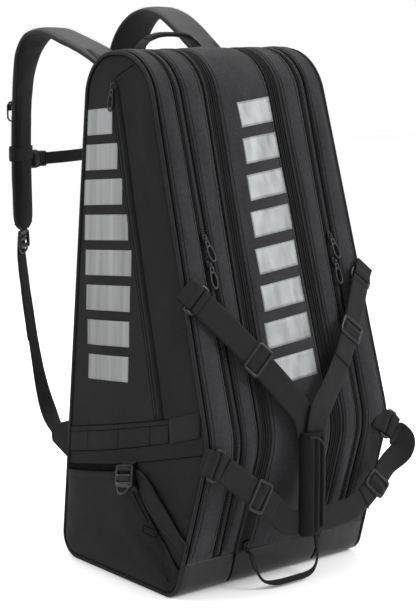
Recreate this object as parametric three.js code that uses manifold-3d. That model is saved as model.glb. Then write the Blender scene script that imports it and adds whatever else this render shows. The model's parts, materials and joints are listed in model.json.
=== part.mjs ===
// Racket tournament bag, standing on its butt end.
// Millimetres, +Z up along the length of the bag, front (zips and carry grip) towards -Y,
// shoulder harness towards +Y. The origin is the centre of the face that the bag rests on.
import * as THREE from 'three';
import { mergeVertices } from 'three/addons/utils/BufferGeometryUtils.js';
import Module from 'manifold-3d';

const wasm = await Module();
wasm.setup();

// ---------------------------------------------------------------- driving dimensions
const HEIGHT = 780;
const GAP = 0.3;

// Side outline of the bag as corners [y, z, rounding radius], clockwise from the back of the base.
const OUTLINE = [
  [158, 0, 36],
  [-131, 0, 34],
  [-200, 232, 100],
  [-43.5, 781, 85],
  [102, 779, 70],
];

// Lines that run round the front from the base to the top: [x at the base, x at the top].
const EDGE = [180, 160];
const ZIP_OUTER = [126, 126];
const ZIP_INNER = [112, 112];
const DEEP_SEAM = [84, 68];
const LID_EDGE = [64, 50];

const TRIM_HEIGHT = 57;
const BACK_TRIM_HEIGHT = 34;
const TOP_SEAM_Z = 742;
const FABRIC = 3;
const BASE_THICK = 4;
const BACK_THICK = 10;
const ZIP_THICK = 2;
const PIPING_RADIUS = 3;

const WEBBING = 38;
const WEBBING_THICK = 2;
const PAD_WIDTH = 60;
const PAD_THICK = 14;
const NARROW_WEBBING = 25;
const NARROW_THICK = 1.8;
const CHEST_WEBBING = 20;

// ---------------------------------------------------------------- materials
function finish(color, roughness) {
  return new THREE.MeshStandardMaterial({ color, roughness, metalness: 0 });
}
const LOOKS = {
  fabric: finish(0x2a292c, 0.9),
  side: finish(0x232325, 0.9),
  tarpaulin: finish(0x303236, 0.5),
  webbing: finish(0x1c1c1d, 0.85),
  padding: finish(0x3a3b3e, 0.8),
  plastic: finish(0x18191a, 0.45),
  zip: finish(0x1d2224, 0.6),
  lining: finish(0x35363a, 0.9),
};

const bag = new THREE.Group();

function addPart(name, geometry, look) {
  const mesh = new THREE.Mesh(geometry, LOOKS[look]);
  mesh.name = name;
  bag.add(mesh);
  return mesh;
}

// ---------------------------------------------------------------- solid helpers
function signedVolume(points, faces) {
  let volume = 0;
  for (const [a, b, c] of faces) {
    volume += points[a].dot(points[b].clone().cross(points[c]));
  }
  return volume;
}

function solidFrom(points, faces) {
  const flip = signedVolume(points, faces) < 0;
  const geometry = new THREE.BufferGeometry();
  const flat = points.flatMap((p) => [p.x, p.y, p.z]);
  geometry.setAttribute('position', new THREE.Float32BufferAttribute(flat, 3));
  geometry.setIndex(faces.flatMap(([a, b, c]) => (flip ? [a, c, b] : [a, b, c])));
  geometry.computeVertexNormals();
  return geometry;
}

// A closed solid through a list of sections, each a closed ring of the same number of points.
function loft(sections, closed = false) {
  const around = sections[0].length;
  const points = sections.flat();
  const faces = [];
  const last = closed ? sections.length : sections.length - 1;
  for (let i = 0; i < last; i += 1) {
    const near = i * around;
    const far = ((i + 1) % sections.length) * around;
    for (let k = 0; k < around; k += 1) {
      const next = (k + 1) % around;
      faces.push([near + k, near + next, far + next], [near + k, far + next, far + k]);
    }
  }
  if (!closed) {
    const end = (sections.length - 1) * around;
    for (let k = 1; k < around - 1; k += 1) {
      faces.push([0, k + 1, k], [end, end + k, end + k + 1]);
    }
  }
  return solidFrom(points, faces);
}

function toManifold(geometry) {
  const bare = geometry.clone();
  bare.deleteAttribute('normal');
  if (bare.getAttribute('uv')) bare.deleteAttribute('uv');
  const merged = mergeVertices(bare, 1e-4);
  const mesh = new wasm.Mesh({
    numProp: 3,
    vertProperties: new Float32Array(merged.getAttribute('position').array),
    triVerts: new Uint32Array(merged.getIndex().array),
  });
  return new wasm.Manifold(mesh);
}

function fromManifold(manifold) {
  const mesh = manifold.getMesh();
  const geometry = new THREE.BufferGeometry();
  const stride = mesh.numProp;
  const flat = [];
  for (let i = 0; i < mesh.vertProperties.length; i += stride) {
    flat.push(mesh.vertProperties[i], mesh.vertProperties[i + 1], mesh.vertProperties[i + 2]);
  }
  geometry.setAttribute('position', new THREE.Float32BufferAttribute(flat, 3));
  geometry.setIndex(Array.from(mesh.triVerts));
  geometry.computeVertexNormals();
  return geometry;
}

const join = (a, b) => fromManifold(toManifold(a).add(toManifold(b)));
const cut = (a, b) => fromManifold(toManifold(a).subtract(toManifold(b)));

// ---------------------------------------------------------------- the side outline
// Points round the rounded outline, each with its outward direction, clockwise.
function outlinePoints(arcStep = 13, straightStep = 110) {
  const corners = OUTLINE.map(([y, z]) => new THREE.Vector2(y, z));
  const result = [];
  const count = corners.length;
  for (let i = 0; i < count; i += 1) {
    const here = corners[i];
    const toPrev = corners[(i + count - 1) % count].clone().sub(here).normalize();
    const toNext = corners[(i + 1) % count].clone().sub(here).normalize();
    const half = Math.acos(toPrev.dot(toNext)) / 2;
    const radius = OUTLINE[i][2];
    const middle = toPrev.clone().add(toNext).normalize();
    const centre = here.clone().addScaledVector(middle, radius / Math.sin(half));
    const start = here.clone().addScaledVector(toPrev, radius / Math.tan(half)).sub(centre);
    const turn = Math.PI - 2 * half;
    const steps = Math.max(2, Math.round(THREE.MathUtils.radToDeg(turn) / arcStep));
    for (let k = 0; k <= steps; k += 1) {
      const out = start.clone().rotateAround(new THREE.Vector2(), (-turn * k) / steps).normalize();
      const point = centre.clone().addScaledVector(out, radius);
      if (k === 0 && result.length > 0) {
        fillStraight(result, point, out, straightStep);
      }
      result.push({ y: point.x, z: point.y, ny: out.x, nz: out.y });
    }
  }
  fillStraight(result, new THREE.Vector2(result[0].y, result[0].z), null, straightStep);
  return withLengths(result);
}

// Points along the straight stretch between the last point and the next one.
function fillStraight(list, point, out, step) {
  const last = list[list.length - 1];
  const from = new THREE.Vector2(last.y, last.z);
  const steps = Math.floor(from.distanceTo(point) / step);
  for (let k = 1; k < steps; k += 1) {
    const at = from.clone().lerp(point, k / steps);
    list.push({ y: at.x, z: at.y, ny: last.ny, nz: last.nz });
  }
}

function withLengths(list) {
  let length = 0;
  list.forEach((p, i) => {
    if (i > 0) length += Math.hypot(p.y - list[i - 1].y, p.z - list[i - 1].z);
    p.s = length;
  });
  return list;
}

const outline = outlinePoints();
const first = outline[0];
const lastPoint = outline[outline.length - 1];
const LOOP_LENGTH = lastPoint.s + Math.hypot(lastPoint.y - first.y, lastPoint.z - first.z);

// The point of the outline at a length along it, which may run past one whole turn.
function outlineAt(length) {
  const s = ((length % LOOP_LENGTH) + LOOP_LENGTH) % LOOP_LENGTH;
  const ring = [...outline, { ...first, s: LOOP_LENGTH }];
  let i = 0;
  while (ring[i + 1].s < s) i += 1;
  const f = (s - ring[i].s) / Math.max(ring[i + 1].s - ring[i].s, 1e-9);
  const mix = (key) => ring[i][key] + (ring[i + 1][key] - ring[i][key]) * f;
  const norm = Math.hypot(mix('ny'), mix('nz'));
  return { y: mix('y'), z: mix('z'), ny: mix('ny') / norm, nz: mix('nz') / norm };
}

// Length along the outline where it passes a height, on the front (side -1) or back (side 1).
function lengthAtHeight(z, side) {
  const ring = [...outline, { ...first, s: LOOP_LENGTH }];
  for (let i = 0; i + 1 < ring.length; i += 1) {
    const rising = ring[i + 1].z > ring[i].z;
    const wanted = side < 0 ? rising : ring[i + 1].z < ring[i].z;
    const crosses = (ring[i].z - z) * (ring[i + 1].z - z) <= 0;
    if (wanted && crosses && ring[i].z !== ring[i + 1].z) {
      const f = (z - ring[i].z) / (ring[i + 1].z - ring[i].z);
      return ring[i].s + (ring[i + 1].s - ring[i].s) * f;
    }
  }
  throw new Error(`no crossing at ${z}`);
}

function samplesBetween(from, to) {
  const end = to < from ? to + LOOP_LENGTH : to;
  const lengths = [from];
  for (let turn = 0; turn < 2; turn += 1) {
    for (const p of outline) {
      const s = p.s + turn * LOOP_LENGTH;
      if (s > from + 2 && s < end - 2) lengths.push(s);
    }
  }
  lengths.push(end);
  return lengths.map(outlineAt);
}

const onLine = (line, z) => line[0] + ((line[1] - line[0]) * z) / HEIGHT;
const shifted = (line, by) => [line[0] + by, line[1] + by];
const mirrored = (line) => [-line[0], -line[1]];
const vec = (x, y, z) => new THREE.Vector3(x, y, z);

// ---------------------------------------------------------------- body panels
const BASE_BACK = lengthAtHeight(BACK_TRIM_HEIGHT, 1);
const BASE_FRONT = lengthAtHeight(TRIM_HEIGHT, -1);
const TOP_SEAM = lengthAtHeight(TOP_SEAM_Z, 1);

// A panel that follows the outline between two lines, `thick` deep and sunk by `sunk`.
function strip(lineA, lineB, from, to, thick, sunk = 0) {
  const sections = samplesBetween(from, to).map((p) => {
    const corner = (line, depth) => vec(onLine(line, p.z), p.y - p.ny * depth, p.z - p.nz * depth);
    const outer = sunk;
    const inner = sunk + thick;
    return [corner(lineA, outer), corner(lineB, outer), corner(lineB, inner), corner(lineA, inner)];
  });
  return loft(sections);
}

// A flat panel with the outline drawn in by `inset`, between two offsets from a line.
function sidePlate(line, sign, inset, outer, thick) {
  const shape = new THREE.Shape(outline.map((p) => {
    return new THREE.Vector2(p.y - p.ny * inset, p.z - p.nz * inset);
  }));
  const plate = new THREE.ExtrudeGeometry(shape, { depth: thick, bevelEnabled: false });
  return ontoSide(plate, line, sign, outer - thick);
}

// Moves a solid drawn in (y, z, outwards) onto the plane that a line gives on one side.
function ontoSide(geometry, line, sign, lift) {
  const bare = geometry.clone();
  bare.deleteAttribute('normal');
  if (bare.getAttribute('uv')) bare.deleteAttribute('uv');
  const merged = mergeVertices(bare, 1e-4);
  const at = merged.getAttribute('position');
  const points = [];
  for (let i = 0; i < at.count; i += 1) {
    const z = at.getY(i);
    points.push(vec(sign * (onLine(line, z) + lift + at.getZ(i)), at.getX(i), z));
  }
  const index = merged.getIndex().array;
  const faces = [];
  for (let i = 0; i < index.length; i += 3) faces.push([index[i], index[i + 1], index[i + 2]]);
  return solidFrom(points, faces);
}

function buildShell() {
  const seam = PIPING_RADIUS + 0.6;
  const edge = shifted(EDGE, -seam);
  addPart('base_panel', strip(mirrored(edge), edge, BASE_BACK, BASE_FRONT - GAP, BASE_THICK), 'tarpaulin');
  addPart('back_panel', strip(mirrored(edge), edge, TOP_SEAM + GAP, BASE_BACK - GAP, BACK_THICK), 'side');
  addPart('centre_lid', strip(mirrored(LID_EDGE), LID_EDGE, BASE_FRONT, TOP_SEAM, FABRIC), 'fabric');
  for (const [side, sign] of [['left', -1], ['right', 1]]) {
    buildHalf(side, sign, edge);
  }
}

function buildHalf(side, sign, edge) {
  const turned = (line) => (sign < 0 ? mirrored(line) : line);
  const panel = (a, b, thick, sunk = 0) => {
    const lines = [turned(shifted(a, -GAP / 2)), turned(shifted(b, GAP / 2))];
    return strip(...lines, BASE_FRONT, TOP_SEAM, thick, sunk);
  };
  addPart(`${side}_outer_gusset`, panel(edge, ZIP_OUTER, FABRIC), 'fabric');
  addPart(`${side}_main_zip`, panel(ZIP_OUTER, ZIP_INNER, ZIP_THICK, 1), 'zip');
  addPart(`${side}_inner_gusset`, panel(ZIP_INNER, DEEP_SEAM, FABRIC), 'fabric');
  addPart(`${side}_lid_zip`, panel(DEEP_SEAM, shifted(LID_EDGE, GAP / 2), ZIP_THICK, 1), 'zip');
  addPart(`${side}_side_panel`, sidePlate(EDGE, sign, 2 * PIPING_RADIUS + 0.6, 0, FABRIC), 'side');
  addPart(`${side}_divider`, sidePlate([79, 79], sign, BACK_THICK + 3, 0, 2), 'lining');
  addPart(`${side}_piping`, piping(sign), 'webbing');
}

// The cord-filled piping that runs all the way round the edge of a side panel.
function piping(sign) {
  const sections = outline.map((p) => {
    const ring = [];
    for (let k = 0; k < 6; k += 1) {
      const angle = (k * Math.PI) / 3;
      const across = PIPING_RADIUS * Math.cos(angle);
      const depth = PIPING_RADIUS - PIPING_RADIUS * Math.sin(angle);
      const z = p.z - p.nz * depth;
      ring.push(vec(sign * (onLine(EDGE, z) + across), p.y - p.ny * depth, z));
    }
    return ring;
  });
  return loft(sections, true);
}

buildShell();

// ---------------------------------------------------------------- pieces on the side panels
const MOUTH_SLOPE = -0.245;
const MOUTH_Z = 178;
const POCKET_FRONT = -34;
const POCKET_BACK = 134;
const POCKET_FLOOR = 26;
const POCKET_WALL = 2;
const POCKET_DEPTH = 12;
const mouthHeight = (y) => MOUTH_Z + MOUTH_SLOPE * y;

const ZIP_TOP = { y: 31, z: 728 };
const ZIP_END = { y: -84, z: 275 };
const POCKET_ZIP_WIDTH = 12;

function shapeOf(points) {
  return new THREE.Shape(points.map(([a, b]) => new THREE.Vector2(a, b)));
}

// An open-topped pouch: a front wall with a floor and two side walls, open towards the bag.
function shoePocket(sign) {
  const wall = POCKET_WALL;
  const outer = shapeOf([
    [POCKET_FRONT, POCKET_FLOOR], [POCKET_BACK, POCKET_FLOOR],
    [POCKET_BACK, mouthHeight(POCKET_BACK)], [POCKET_FRONT, mouthHeight(POCKET_FRONT)],
  ]);
  const inner = shapeOf([
    [POCKET_FRONT + wall, POCKET_FLOOR + wall], [POCKET_BACK - wall, POCKET_FLOOR + wall],
    [POCKET_BACK - wall, MOUTH_Z + 60], [POCKET_FRONT + wall, MOUTH_Z + 60],
  ]);
  const block = new THREE.ExtrudeGeometry(outer, { depth: POCKET_DEPTH, bevelEnabled: false });
  const hollow = new THREE.ExtrudeGeometry(inner, { depth: POCKET_DEPTH - wall + 5, bevelEnabled: false });
  hollow.translate(0, 0, -5);
  return ontoSide(cut(block, hollow), EDGE, sign, GAP);
}

function pocketZip(sign) {
  const half = POCKET_ZIP_WIDTH / 2;
  const shape = shapeOf([
    [ZIP_END.y - half, ZIP_END.z], [ZIP_END.y + half, ZIP_END.z],
    [ZIP_TOP.y + half, ZIP_TOP.z + 12], [ZIP_TOP.y - half, ZIP_TOP.z + 12],
  ]);
  const tape = new THREE.ExtrudeGeometry(shape, { depth: 1.4, bevelEnabled: false });
  return ontoSide(tape, EDGE, sign, GAP);
}

// A rectangle with cut corners, and slots across it, drawn flat and extruded.
function slottedPlate(width, length, thick, slots) {
  const w = width / 2;
  const l = length / 2;
  const c = 3;
  const shape = shapeOf([
    [-w + c, -l], [w - c, -l], [w, -l + c], [w, l - c], [w - c, l], [-w + c, l], [-w, l - c], [-w, -l + c],
  ]);
  for (const [centre, slotLength, slotWidth] of slots) {
    const a = slotWidth / 2;
    const b = slotLength / 2;
    const hole = new THREE.Path();
    hole.setFromPoints([[-a, centre - b], [-a, centre + b], [a, centre + b], [a, centre - b]]
      .map(([x, y]) => new THREE.Vector2(x, y)));
    shape.holes.push(hole);
  }
  const plate = new THREE.ExtrudeGeometry(shape, { depth: thick, bevelEnabled: false });
  plate.translate(0, 0, -thick / 2);
  return plate;
}

// Places a flat piece with its width along `across`, its length along `along`.
function place(geometry, at, across, along) {
  const a = vec(...across).normalize();
  const n = a.clone().cross(vec(...along)).normalize();
  const b = n.clone().cross(a);
  const matrix = new THREE.Matrix4().makeBasis(a, b, n).setPosition(vec(...at));
  return geometry.clone().applyMatrix4(matrix);
}

// The lock leans by `lean`, its foot stands out by `tilt`, and its slots are [place along it, length, width].
const LOCK_SLOTS = [[8.5, 6, 34], [-6.5, 6, 34]];
const LOCK = { width: 43, length: 34, thick: 5, y: -16, z: 163, lean: 0.21, tilt: 0.25 };

function pocketLock(sign) {
  const standOff = GAP + LOCK.thick / 2 + 1 + (LOCK.tilt * LOCK.length) / 2;
  const x = sign * (onLine(EDGE, LOCK.z) + POCKET_DEPTH + standOff);
  const plate = slottedPlate(LOCK.width, LOCK.length, LOCK.thick, LOCK_SLOTS);
  return place(plate, [x, LOCK.y, LOCK.z], [0, -sign, sign * LOCK.lean], [-sign * LOCK.tilt, LOCK.lean, 1]);
}

for (const [side, sign] of [['left', -1], ['right', 1]]) {
  addPart(`${side}_shoe_pocket`, shoePocket(sign), 'side');
  addPart(`${side}_pocket_zip`, pocketZip(sign), 'zip');
  addPart(`${side}_pocket_lock`, pocketLock(sign), 'plastic');
}

// ---------------------------------------------------------------- webbing and pads
// A flat band through hand-placed points [x, y, z, across x, across y, across z].
function band(points, width, thick, steps, bevel = 0) {
  const path = new THREE.CatmullRomCurve3(points.map((p) => vec(p[0], p[1], p[2])), false, 'centripetal');
  const count = points.length - 1;
  const sections = [];
  for (let i = 0; i <= steps; i += 1) {
    const t = i / steps;
    const at = path.getPoint(t);
    const along = path.getTangent(t);
    const k = Math.min(Math.floor(t * count), count - 1);
    const f = t * count - k;
    const across = vec(...points[k].slice(3)).lerp(vec(...points[k + 1].slice(3)), f);
    across.addScaledVector(along, -across.dot(along)).normalize();
    const out = along.clone().cross(across);
    const corner = (a, b) => at.clone().addScaledVector(across, a).addScaledVector(out, b);
    const w = width / 2;
    const h = thick / 2;
    sections.push(bevel > 0
      ? [corner(-w, 0), corner(-w + bevel, -h), corner(w - bevel, -h), corner(w, 0),
        corner(w - bevel, h), corner(-w + bevel, h)]
      : [corner(-w, -h), corner(w, -h), corner(w, h), corner(-w, h)]);
  }
  return loft(sections);
}

// ---- carry grip, its four webbing arms, rings and strap adjusters
const GRIP = { halfWidth: 24, back: -208, front: -230, bottom: 86, top: 240 };

function gripWrap() {
  const middle = (GRIP.back + GRIP.front) / 2;
  const halfDepth = (GRIP.back - GRIP.front) / 2;
  const levels = [[0, 0.8], [8, 1], [GRIP.top - GRIP.bottom - 8, 1], [GRIP.top - GRIP.bottom, 0.8]];
  const sections = levels.map(([up, size]) => {
    const ring = [];
    for (let k = 0; k < 10; k += 1) {
      const angle = (k * Math.PI) / 5;
      const x = GRIP.halfWidth * size * Math.cos(angle);
      const y = middle + halfDepth * size * Math.sin(angle) * 1.05;
      ring.push(vec(Math.max(-GRIP.halfWidth, Math.min(GRIP.halfWidth, x * 1.08)), y, GRIP.bottom + up));
    }
    return ring;
  });
  return loft(sections);
}

const ARMS = {
  upper_left: {
    ring: { at: [-158, -151, 439], across: [0.72, 0, 0.69], along: [0.66, -0.3, -0.69] },
    glide: { at: [-77, -186.5, 349], across: [0.72, 0, 0.69], along: [0.66, -0.28, -0.7] },
    route: [
      [-150.2, -155, 431, 0.72, 0, 0.69], [-115, -171, 393, 0.72, 0, 0.69], [-77, -186.5, 349, 0.72, 0, 0.69],
      [-38, -203, 301, 0.75, 0, 0.66], [-13, -214, 266, 0.95, 0, 0.3], [-6, -216.5, 246, 1, 0, 0],
    ],
  },
  upper_right: {
    ring: { at: [158, -151, 439], across: [0.79, 0, -0.61], along: [-0.53, -0.25, -0.81] },
    glide: { at: [113, -177, 369], across: [0.8, 0, -0.6], along: [-0.56, -0.27, -0.78] },
    route: [
      [152.4, -155, 430, 0.79, 0, -0.61], [135, -165, 402, 0.8, 0, -0.6], [113, -177, 369, 0.8, 0, -0.6],
      [78, -195, 325, 0.75, 0, -0.66], [40, -211, 290, 0.8, 0, -0.6], [14, -220.5, 266, 0.95, 0, -0.25],
      [6, -222.5, 246, 1, 0, 0],
    ],
  },
  lower_left: {
    ring: { at: [-168, -206, 214], across: [0.42, 0, 0.91], along: [0.86, -0.05, -0.45] },
    glide: { at: [-94, -212, 158], across: [0.5, 0, 0.87], along: [0.82, -0.05, -0.55] },
    route: [
      [-155, -207.5, 206.5, 0.42, 0, 0.91], [-128, -210, 185, 0.5, 0, 0.87], [-94, -212, 158, 0.5, 0, 0.87],
      [-64, -214, 133, 0.5, 0, 0.87], [-46, -216, 113, 0.3, 0, 0.95], [-29.5, -218, 108, 0, 0, 1],
    ],
  },
  lower_right: {
    ring: { at: [168, -206, 222], across: [0.75, -0.3, -0.59], along: [0.5, -0.35, -0.75] },
    glide: { at: [137, -212, 137], across: [0.74, 0, -0.67], along: [-0.68, 0, -0.74] },
    route: [
      [175.5, -212.8, 209, 0.75, -0.3, -0.59], [187, -218, 197, 0.75, -0.55, -0.3],
      [186, -217, 181, 0.75, -0.4, -0.5], [163, -212.5, 163, 0.74, -0.05, -0.67],
      [137, -212, 137, 0.74, 0, -0.67], [110, -212.5, 117, 0.65, 0, -0.76],
      [86, -215, 108, 0.3, 0, -0.95], [54, -217, 105, 0.1, 0, -1], [27, -219, 107, 0, 0, -1],
    ],
  },
};
const RING = { width: 48, length: 18, thick: 4, slots: [[0, 10, 40]] };
const GLIDE = { width: 48, length: 30, thick: 3.6, slots: [[7.5, 8, 40], [-7.5, 8, 40]] };

function carryRing(ring) {
  const plate = slottedPlate(RING.width, RING.length, RING.thick, RING.slots);
  return place(plate, ring.at, ring.across, ring.along);
}

// The adjuster lies on the outer face of its webbing.
function glide(spec) {
  const plate = slottedPlate(GLIDE.width, GLIDE.length, GLIDE.thick, GLIDE.slots);
  const across = vec(...spec.across).normalize();
  const out = across.clone().cross(vec(...spec.along)).normalize();
  if (out.y > 0) out.negate();
  const lift = WEBBING_THICK / 2 + GLIDE.thick / 2 + 0.9;
  const at = vec(...spec.at).addScaledVector(out, lift);
  return place(plate, at.toArray(), spec.across, spec.along);
}

addPart('carry_grip', gripWrap(), 'padding');
for (const [name, arm] of Object.entries(ARMS)) {
  addPart(`${name}_ring`, carryRing(arm.ring), 'plastic');
  const armSteps = 6 * (arm.route.length - 1);
  addPart(`${name}_webbing`, band(arm.route, WEBBING, WEBBING_THICK, armSteps), 'webbing');
  addPart(`${name}_adjuster`, glide(arm.glide), 'plastic');
}

// ---- shoulder harness
const PAD_ROUTES = {
  left: [
    [-100, 110, 745, 1, 0, 0], [-100, 131, 760, 1, 0, 0], [-100, 164, 774, 1, 0, 0],
    [-100, 222, 791, 1, 0, 0], [-100, 280, 804, 1, 0.05, 0], [-100, 322, 798, 0.98, 0.15, 0],
    [-100, 352, 772, 0.94, 0.3, 0], [-100, 368, 734, 0.89, 0.45, 0], [-100, 376, 690, 0.86, 0.5, 0],
    [-100, 380, 620, 0.86, 0.5, 0], [-100, 380, 550, 0.86, 0.5, 0], [-100, 378, 484, 0.86, 0.5, 0],
  ],
  right: [
    [100, 110, 745, 1, 0, 0], [100, 132, 766, 1, 0, 0], [100, 164, 788, 1, 0, 0],
    [101, 205, 814, 1, 0, 0], [102, 242, 831, 1, 0, 0], [103, 285, 836, 1, -0.05, 0],
    [104, 325, 820, 0.98, -0.15, 0], [104, 354, 788, 0.94, -0.3, 0], [103, 370, 742, 0.89, -0.45, 0],
    [101, 378, 680, 0.86, -0.5, 0], [100, 380, 620, 0.86, -0.5, 0], [100, 380, 550, 0.86, -0.5, 0],
    [100, 378, 484, 0.86, -0.5, 0],
  ],
};
const TAIL_ROUTES = {
  left: [
    [-103, 379, 442, 0.86, 0.5, 0], [-115, 353, 398, 0.87, 0.49, 0.05], [-130, 317, 345, 0.88, 0.46, 0.1],
    [-143, 280, 285, 0.88, 0.42, 0.2], [-153, 247, 238, 0.86, 0.3, 0.4], [-161, 212, 202, 0.6, 0.1, 0.8],
    [-167, 178, 186, 0.15, 0.05, 0.98], [-171, 152, 180, 0, 0, 1],
  ],
};
TAIL_ROUTES.right = TAIL_ROUTES.left.map(([x, y, z, a, b, c]) => [-x, y, z, -a, b, c]);

const LADDER = { width: 34, length: 30, thick: 5 };

function ladderLock(sign) {
  const plate = slottedPlate(LADDER.width, LADDER.length, LADDER.thick, [[8, 6, 26], [-8, 6, 26]]);
  return place(plate, [sign * 100.5, 377, 466], [0.86, -sign * 0.5, 0], [0, 0.06, 1]);
}

for (const [side, sign] of [['left', -1], ['right', 1]]) {
  const pad = band(PAD_ROUTES[side], PAD_WIDTH, PAD_THICK, 2 * (PAD_ROUTES[side].length - 1), 5);
  addPart(`${side}_shoulder_pad`, pad, 'padding');
  const tailSteps = 10 * (TAIL_ROUTES[side].length - 1);
  const tail = band(TAIL_ROUTES[side], NARROW_WEBBING, NARROW_THICK, tailSteps);
  addPart(`${side}_lower_webbing`, tail, 'webbing');
  addPart(`${side}_ladder_lock`, ladderLock(sign), 'plastic');
}

// ---- chest strap with its two-part buckle
function box(width, depth, height, at) {
  const geometry = new THREE.BoxGeometry(width, depth, height);
  geometry.translate(...at);
  return geometry;
}

// Sizes of the side-release buckle are [across the strap's run, depth, height].
const CHEST = { y: 404, z: 594, socketFrom: -70, socketTo: -50 };
const BUCKLE = { depth: 11, height: 28, cavity: [16, 6, 22], plug: [12, 9, 26], tongue: [15, 4.6, 19] };

function chestSocket() {
  const width = CHEST.socketTo - CHEST.socketFrom;
  const middle = (CHEST.socketFrom + CHEST.socketTo) / 2;
  const housing = box(width, BUCKLE.depth, BUCKLE.height, [middle, CHEST.y, CHEST.z]);
  const cavity = box(...BUCKLE.cavity, [CHEST.socketTo - 8 + 0.5, CHEST.y, CHEST.z]);
  return cut(housing, cavity);
}

function chestPlug() {
  const body = box(...BUCKLE.plug, [CHEST.socketTo + 6.4, CHEST.y, CHEST.z]);
  const tongue = box(...BUCKLE.tongue, [CHEST.socketTo - 5.5, CHEST.y, CHEST.z]);
  return join(body, tongue);
}

addPart('chest_buckle_socket', chestSocket(), 'plastic');
addPart('chest_buckle_plug', chestPlug(), 'plastic');
const chestRoute = [
  [-37, 404, 594, 0, 0, 1], [0, 402, 595, 0, 0, 1], [50, 403, 597, 0, 0, 1],
  [84, 406, 598, 0, 0, 1], [106, 404, 598, 0, 0, 1],
];
addPart('chest_webbing', band(chestRoute, CHEST_WEBBING, WEBBING_THICK, 8), 'webbing');

// ---- haul handle at the top of the back
const HANDLE_Y = 114;
const handleRoute = [
  [-60, HANDLE_Y, 738, 0, 1, 0], [-61, HANDLE_Y, 762, 0, 1, 0], [-52, HANDLE_Y, 785, 0, 1, 0],
  [-30, HANDLE_Y, 798, 0, 1, 0], [0, HANDLE_Y, 801, 0, 1, 0], [30, HANDLE_Y, 798, 0, 1, 0],
  [52, HANDLE_Y, 785, 0, 1, 0], [61, HANDLE_Y, 762, 0, 1, 0], [60, HANDLE_Y, 738, 0, 1, 0],
];
addPart('haul_handle', band(handleRoute, NARROW_WEBBING, 3, 16), 'webbing');

// ---------------------------------------------------------------- zip sliders and pulls
const UPPER_FACE = frontFrame(300, 600);
const LOWER_FACE = frontFrame(80, 130);

// A point, the way up and the way out of a straight stretch of the front.
function frontFrame(lowZ, highZ) {
  const low = outlineAt(lengthAtHeight(lowZ, -1));
  const high = outlineAt(lengthAtHeight(highZ, -1));
  const up = vec(0, high.y - low.y, high.z - low.z).normalize();
  return { from: vec(0, low.y, low.z), up, out: vec(0, -up.z, up.y) };
}

function onFace(face, x, z, lift) {
  const along = (z - face.from.z) / face.up.z;
  return face.from.clone().addScaledVector(face.up, along).addScaledVector(face.out, lift).setX(x);
}

const SLIDER = { width: 10, length: 12, height: 4, bridge: 3, bridgeLength: 8 };
const PULL = { width: 6, length: 27, thick: 1.6, clearance: 1.2 };

// Slider body in its own frame: x across the zip, y up the zip, z out of the face.
function sliderBody() {
  const body = box(SLIDER.width, SLIDER.length, SLIDER.height, [0, 0, SLIDER.height / 2]);
  const sunk = 0.5;
  const bridgeMiddle = SLIDER.height + (SLIDER.bridge - sunk) / 2;
  const bridge = box(3, SLIDER.bridgeLength, SLIDER.bridge + sunk, [0, 0, bridgeMiddle]);
  return join(body, bridge);
}

// Pull tab that hangs down the face from the lower end of the bridge.
function pullTab() {
  const shape = shapeOf([
    [-2, 0], [2, 0], [PULL.width / 2, -9], [PULL.width / 2, -PULL.length + 3], [1.5, -PULL.length],
    [-1.5, -PULL.length], [-PULL.width / 2, -PULL.length + 3], [-PULL.width / 2, -9],
  ]);
  const plate = new THREE.ExtrudeGeometry(shape, { depth: PULL.thick, bevelEnabled: false });
  plate.translate(0, -SLIDER.bridgeLength / 2 - PULL.clearance, SLIDER.height + 1);
  return plate;
}

// Puts a piece drawn in the slider's own frame onto a face.
function inFrame(geometry, origin, up, out) {
  const across = up.clone().cross(out).normalize();
  return geometry.clone().applyMatrix4(new THREE.Matrix4().makeBasis(across, up, out).setPosition(origin));
}

const ZIP_X = (ZIP_OUTER[0] + ZIP_INNER[0]) / 2;
const SLIDER_LIFT = GAP - 1;
const FRONT_SLIDERS = {
  left_upper: [-ZIP_X, 518],
  left_lower: [-ZIP_X, 482],
  right_upper: [ZIP_X, 502],
  right_lower: [ZIP_X, 466],
};
for (const [name, [x, z]] of Object.entries(FRONT_SLIDERS)) {
  const origin = onFace(UPPER_FACE, x, z, SLIDER_LIFT);
  addPart(`${name}_slider`, inFrame(sliderBody(), origin, UPPER_FACE.up, UPPER_FACE.out), 'plastic');
  addPart(`${name}_pull`, inFrame(pullTab(), origin, UPPER_FACE.up, UPPER_FACE.out), 'plastic');
}

function sideSliderFrame(sign) {
  const top = vec(sign * onLine(EDGE, ZIP_TOP.z), ZIP_TOP.y, ZIP_TOP.z);
  const end = vec(sign * onLine(EDGE, ZIP_END.z), ZIP_END.y, ZIP_END.z);
  const up = top.clone().sub(end).normalize();
  const across = vec(0, 1, 0).addScaledVector(up, -up.y).normalize();
  const out = across.clone().cross(up).normalize();
  if (out.x * sign < 0) out.negate();
  return { origin: top.addScaledVector(out, 2.1), up, out };
}

for (const [side, sign] of [['left', -1], ['right', 1]]) {
  const { origin, up, out } = sideSliderFrame(sign);
  addPart(`${side}_pocket_slider`, inFrame(sliderBody(), origin, up, out), 'plastic');
  addPart(`${side}_pocket_pull`, inFrame(pullTab(), origin, up, out), 'plastic');
}

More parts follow.
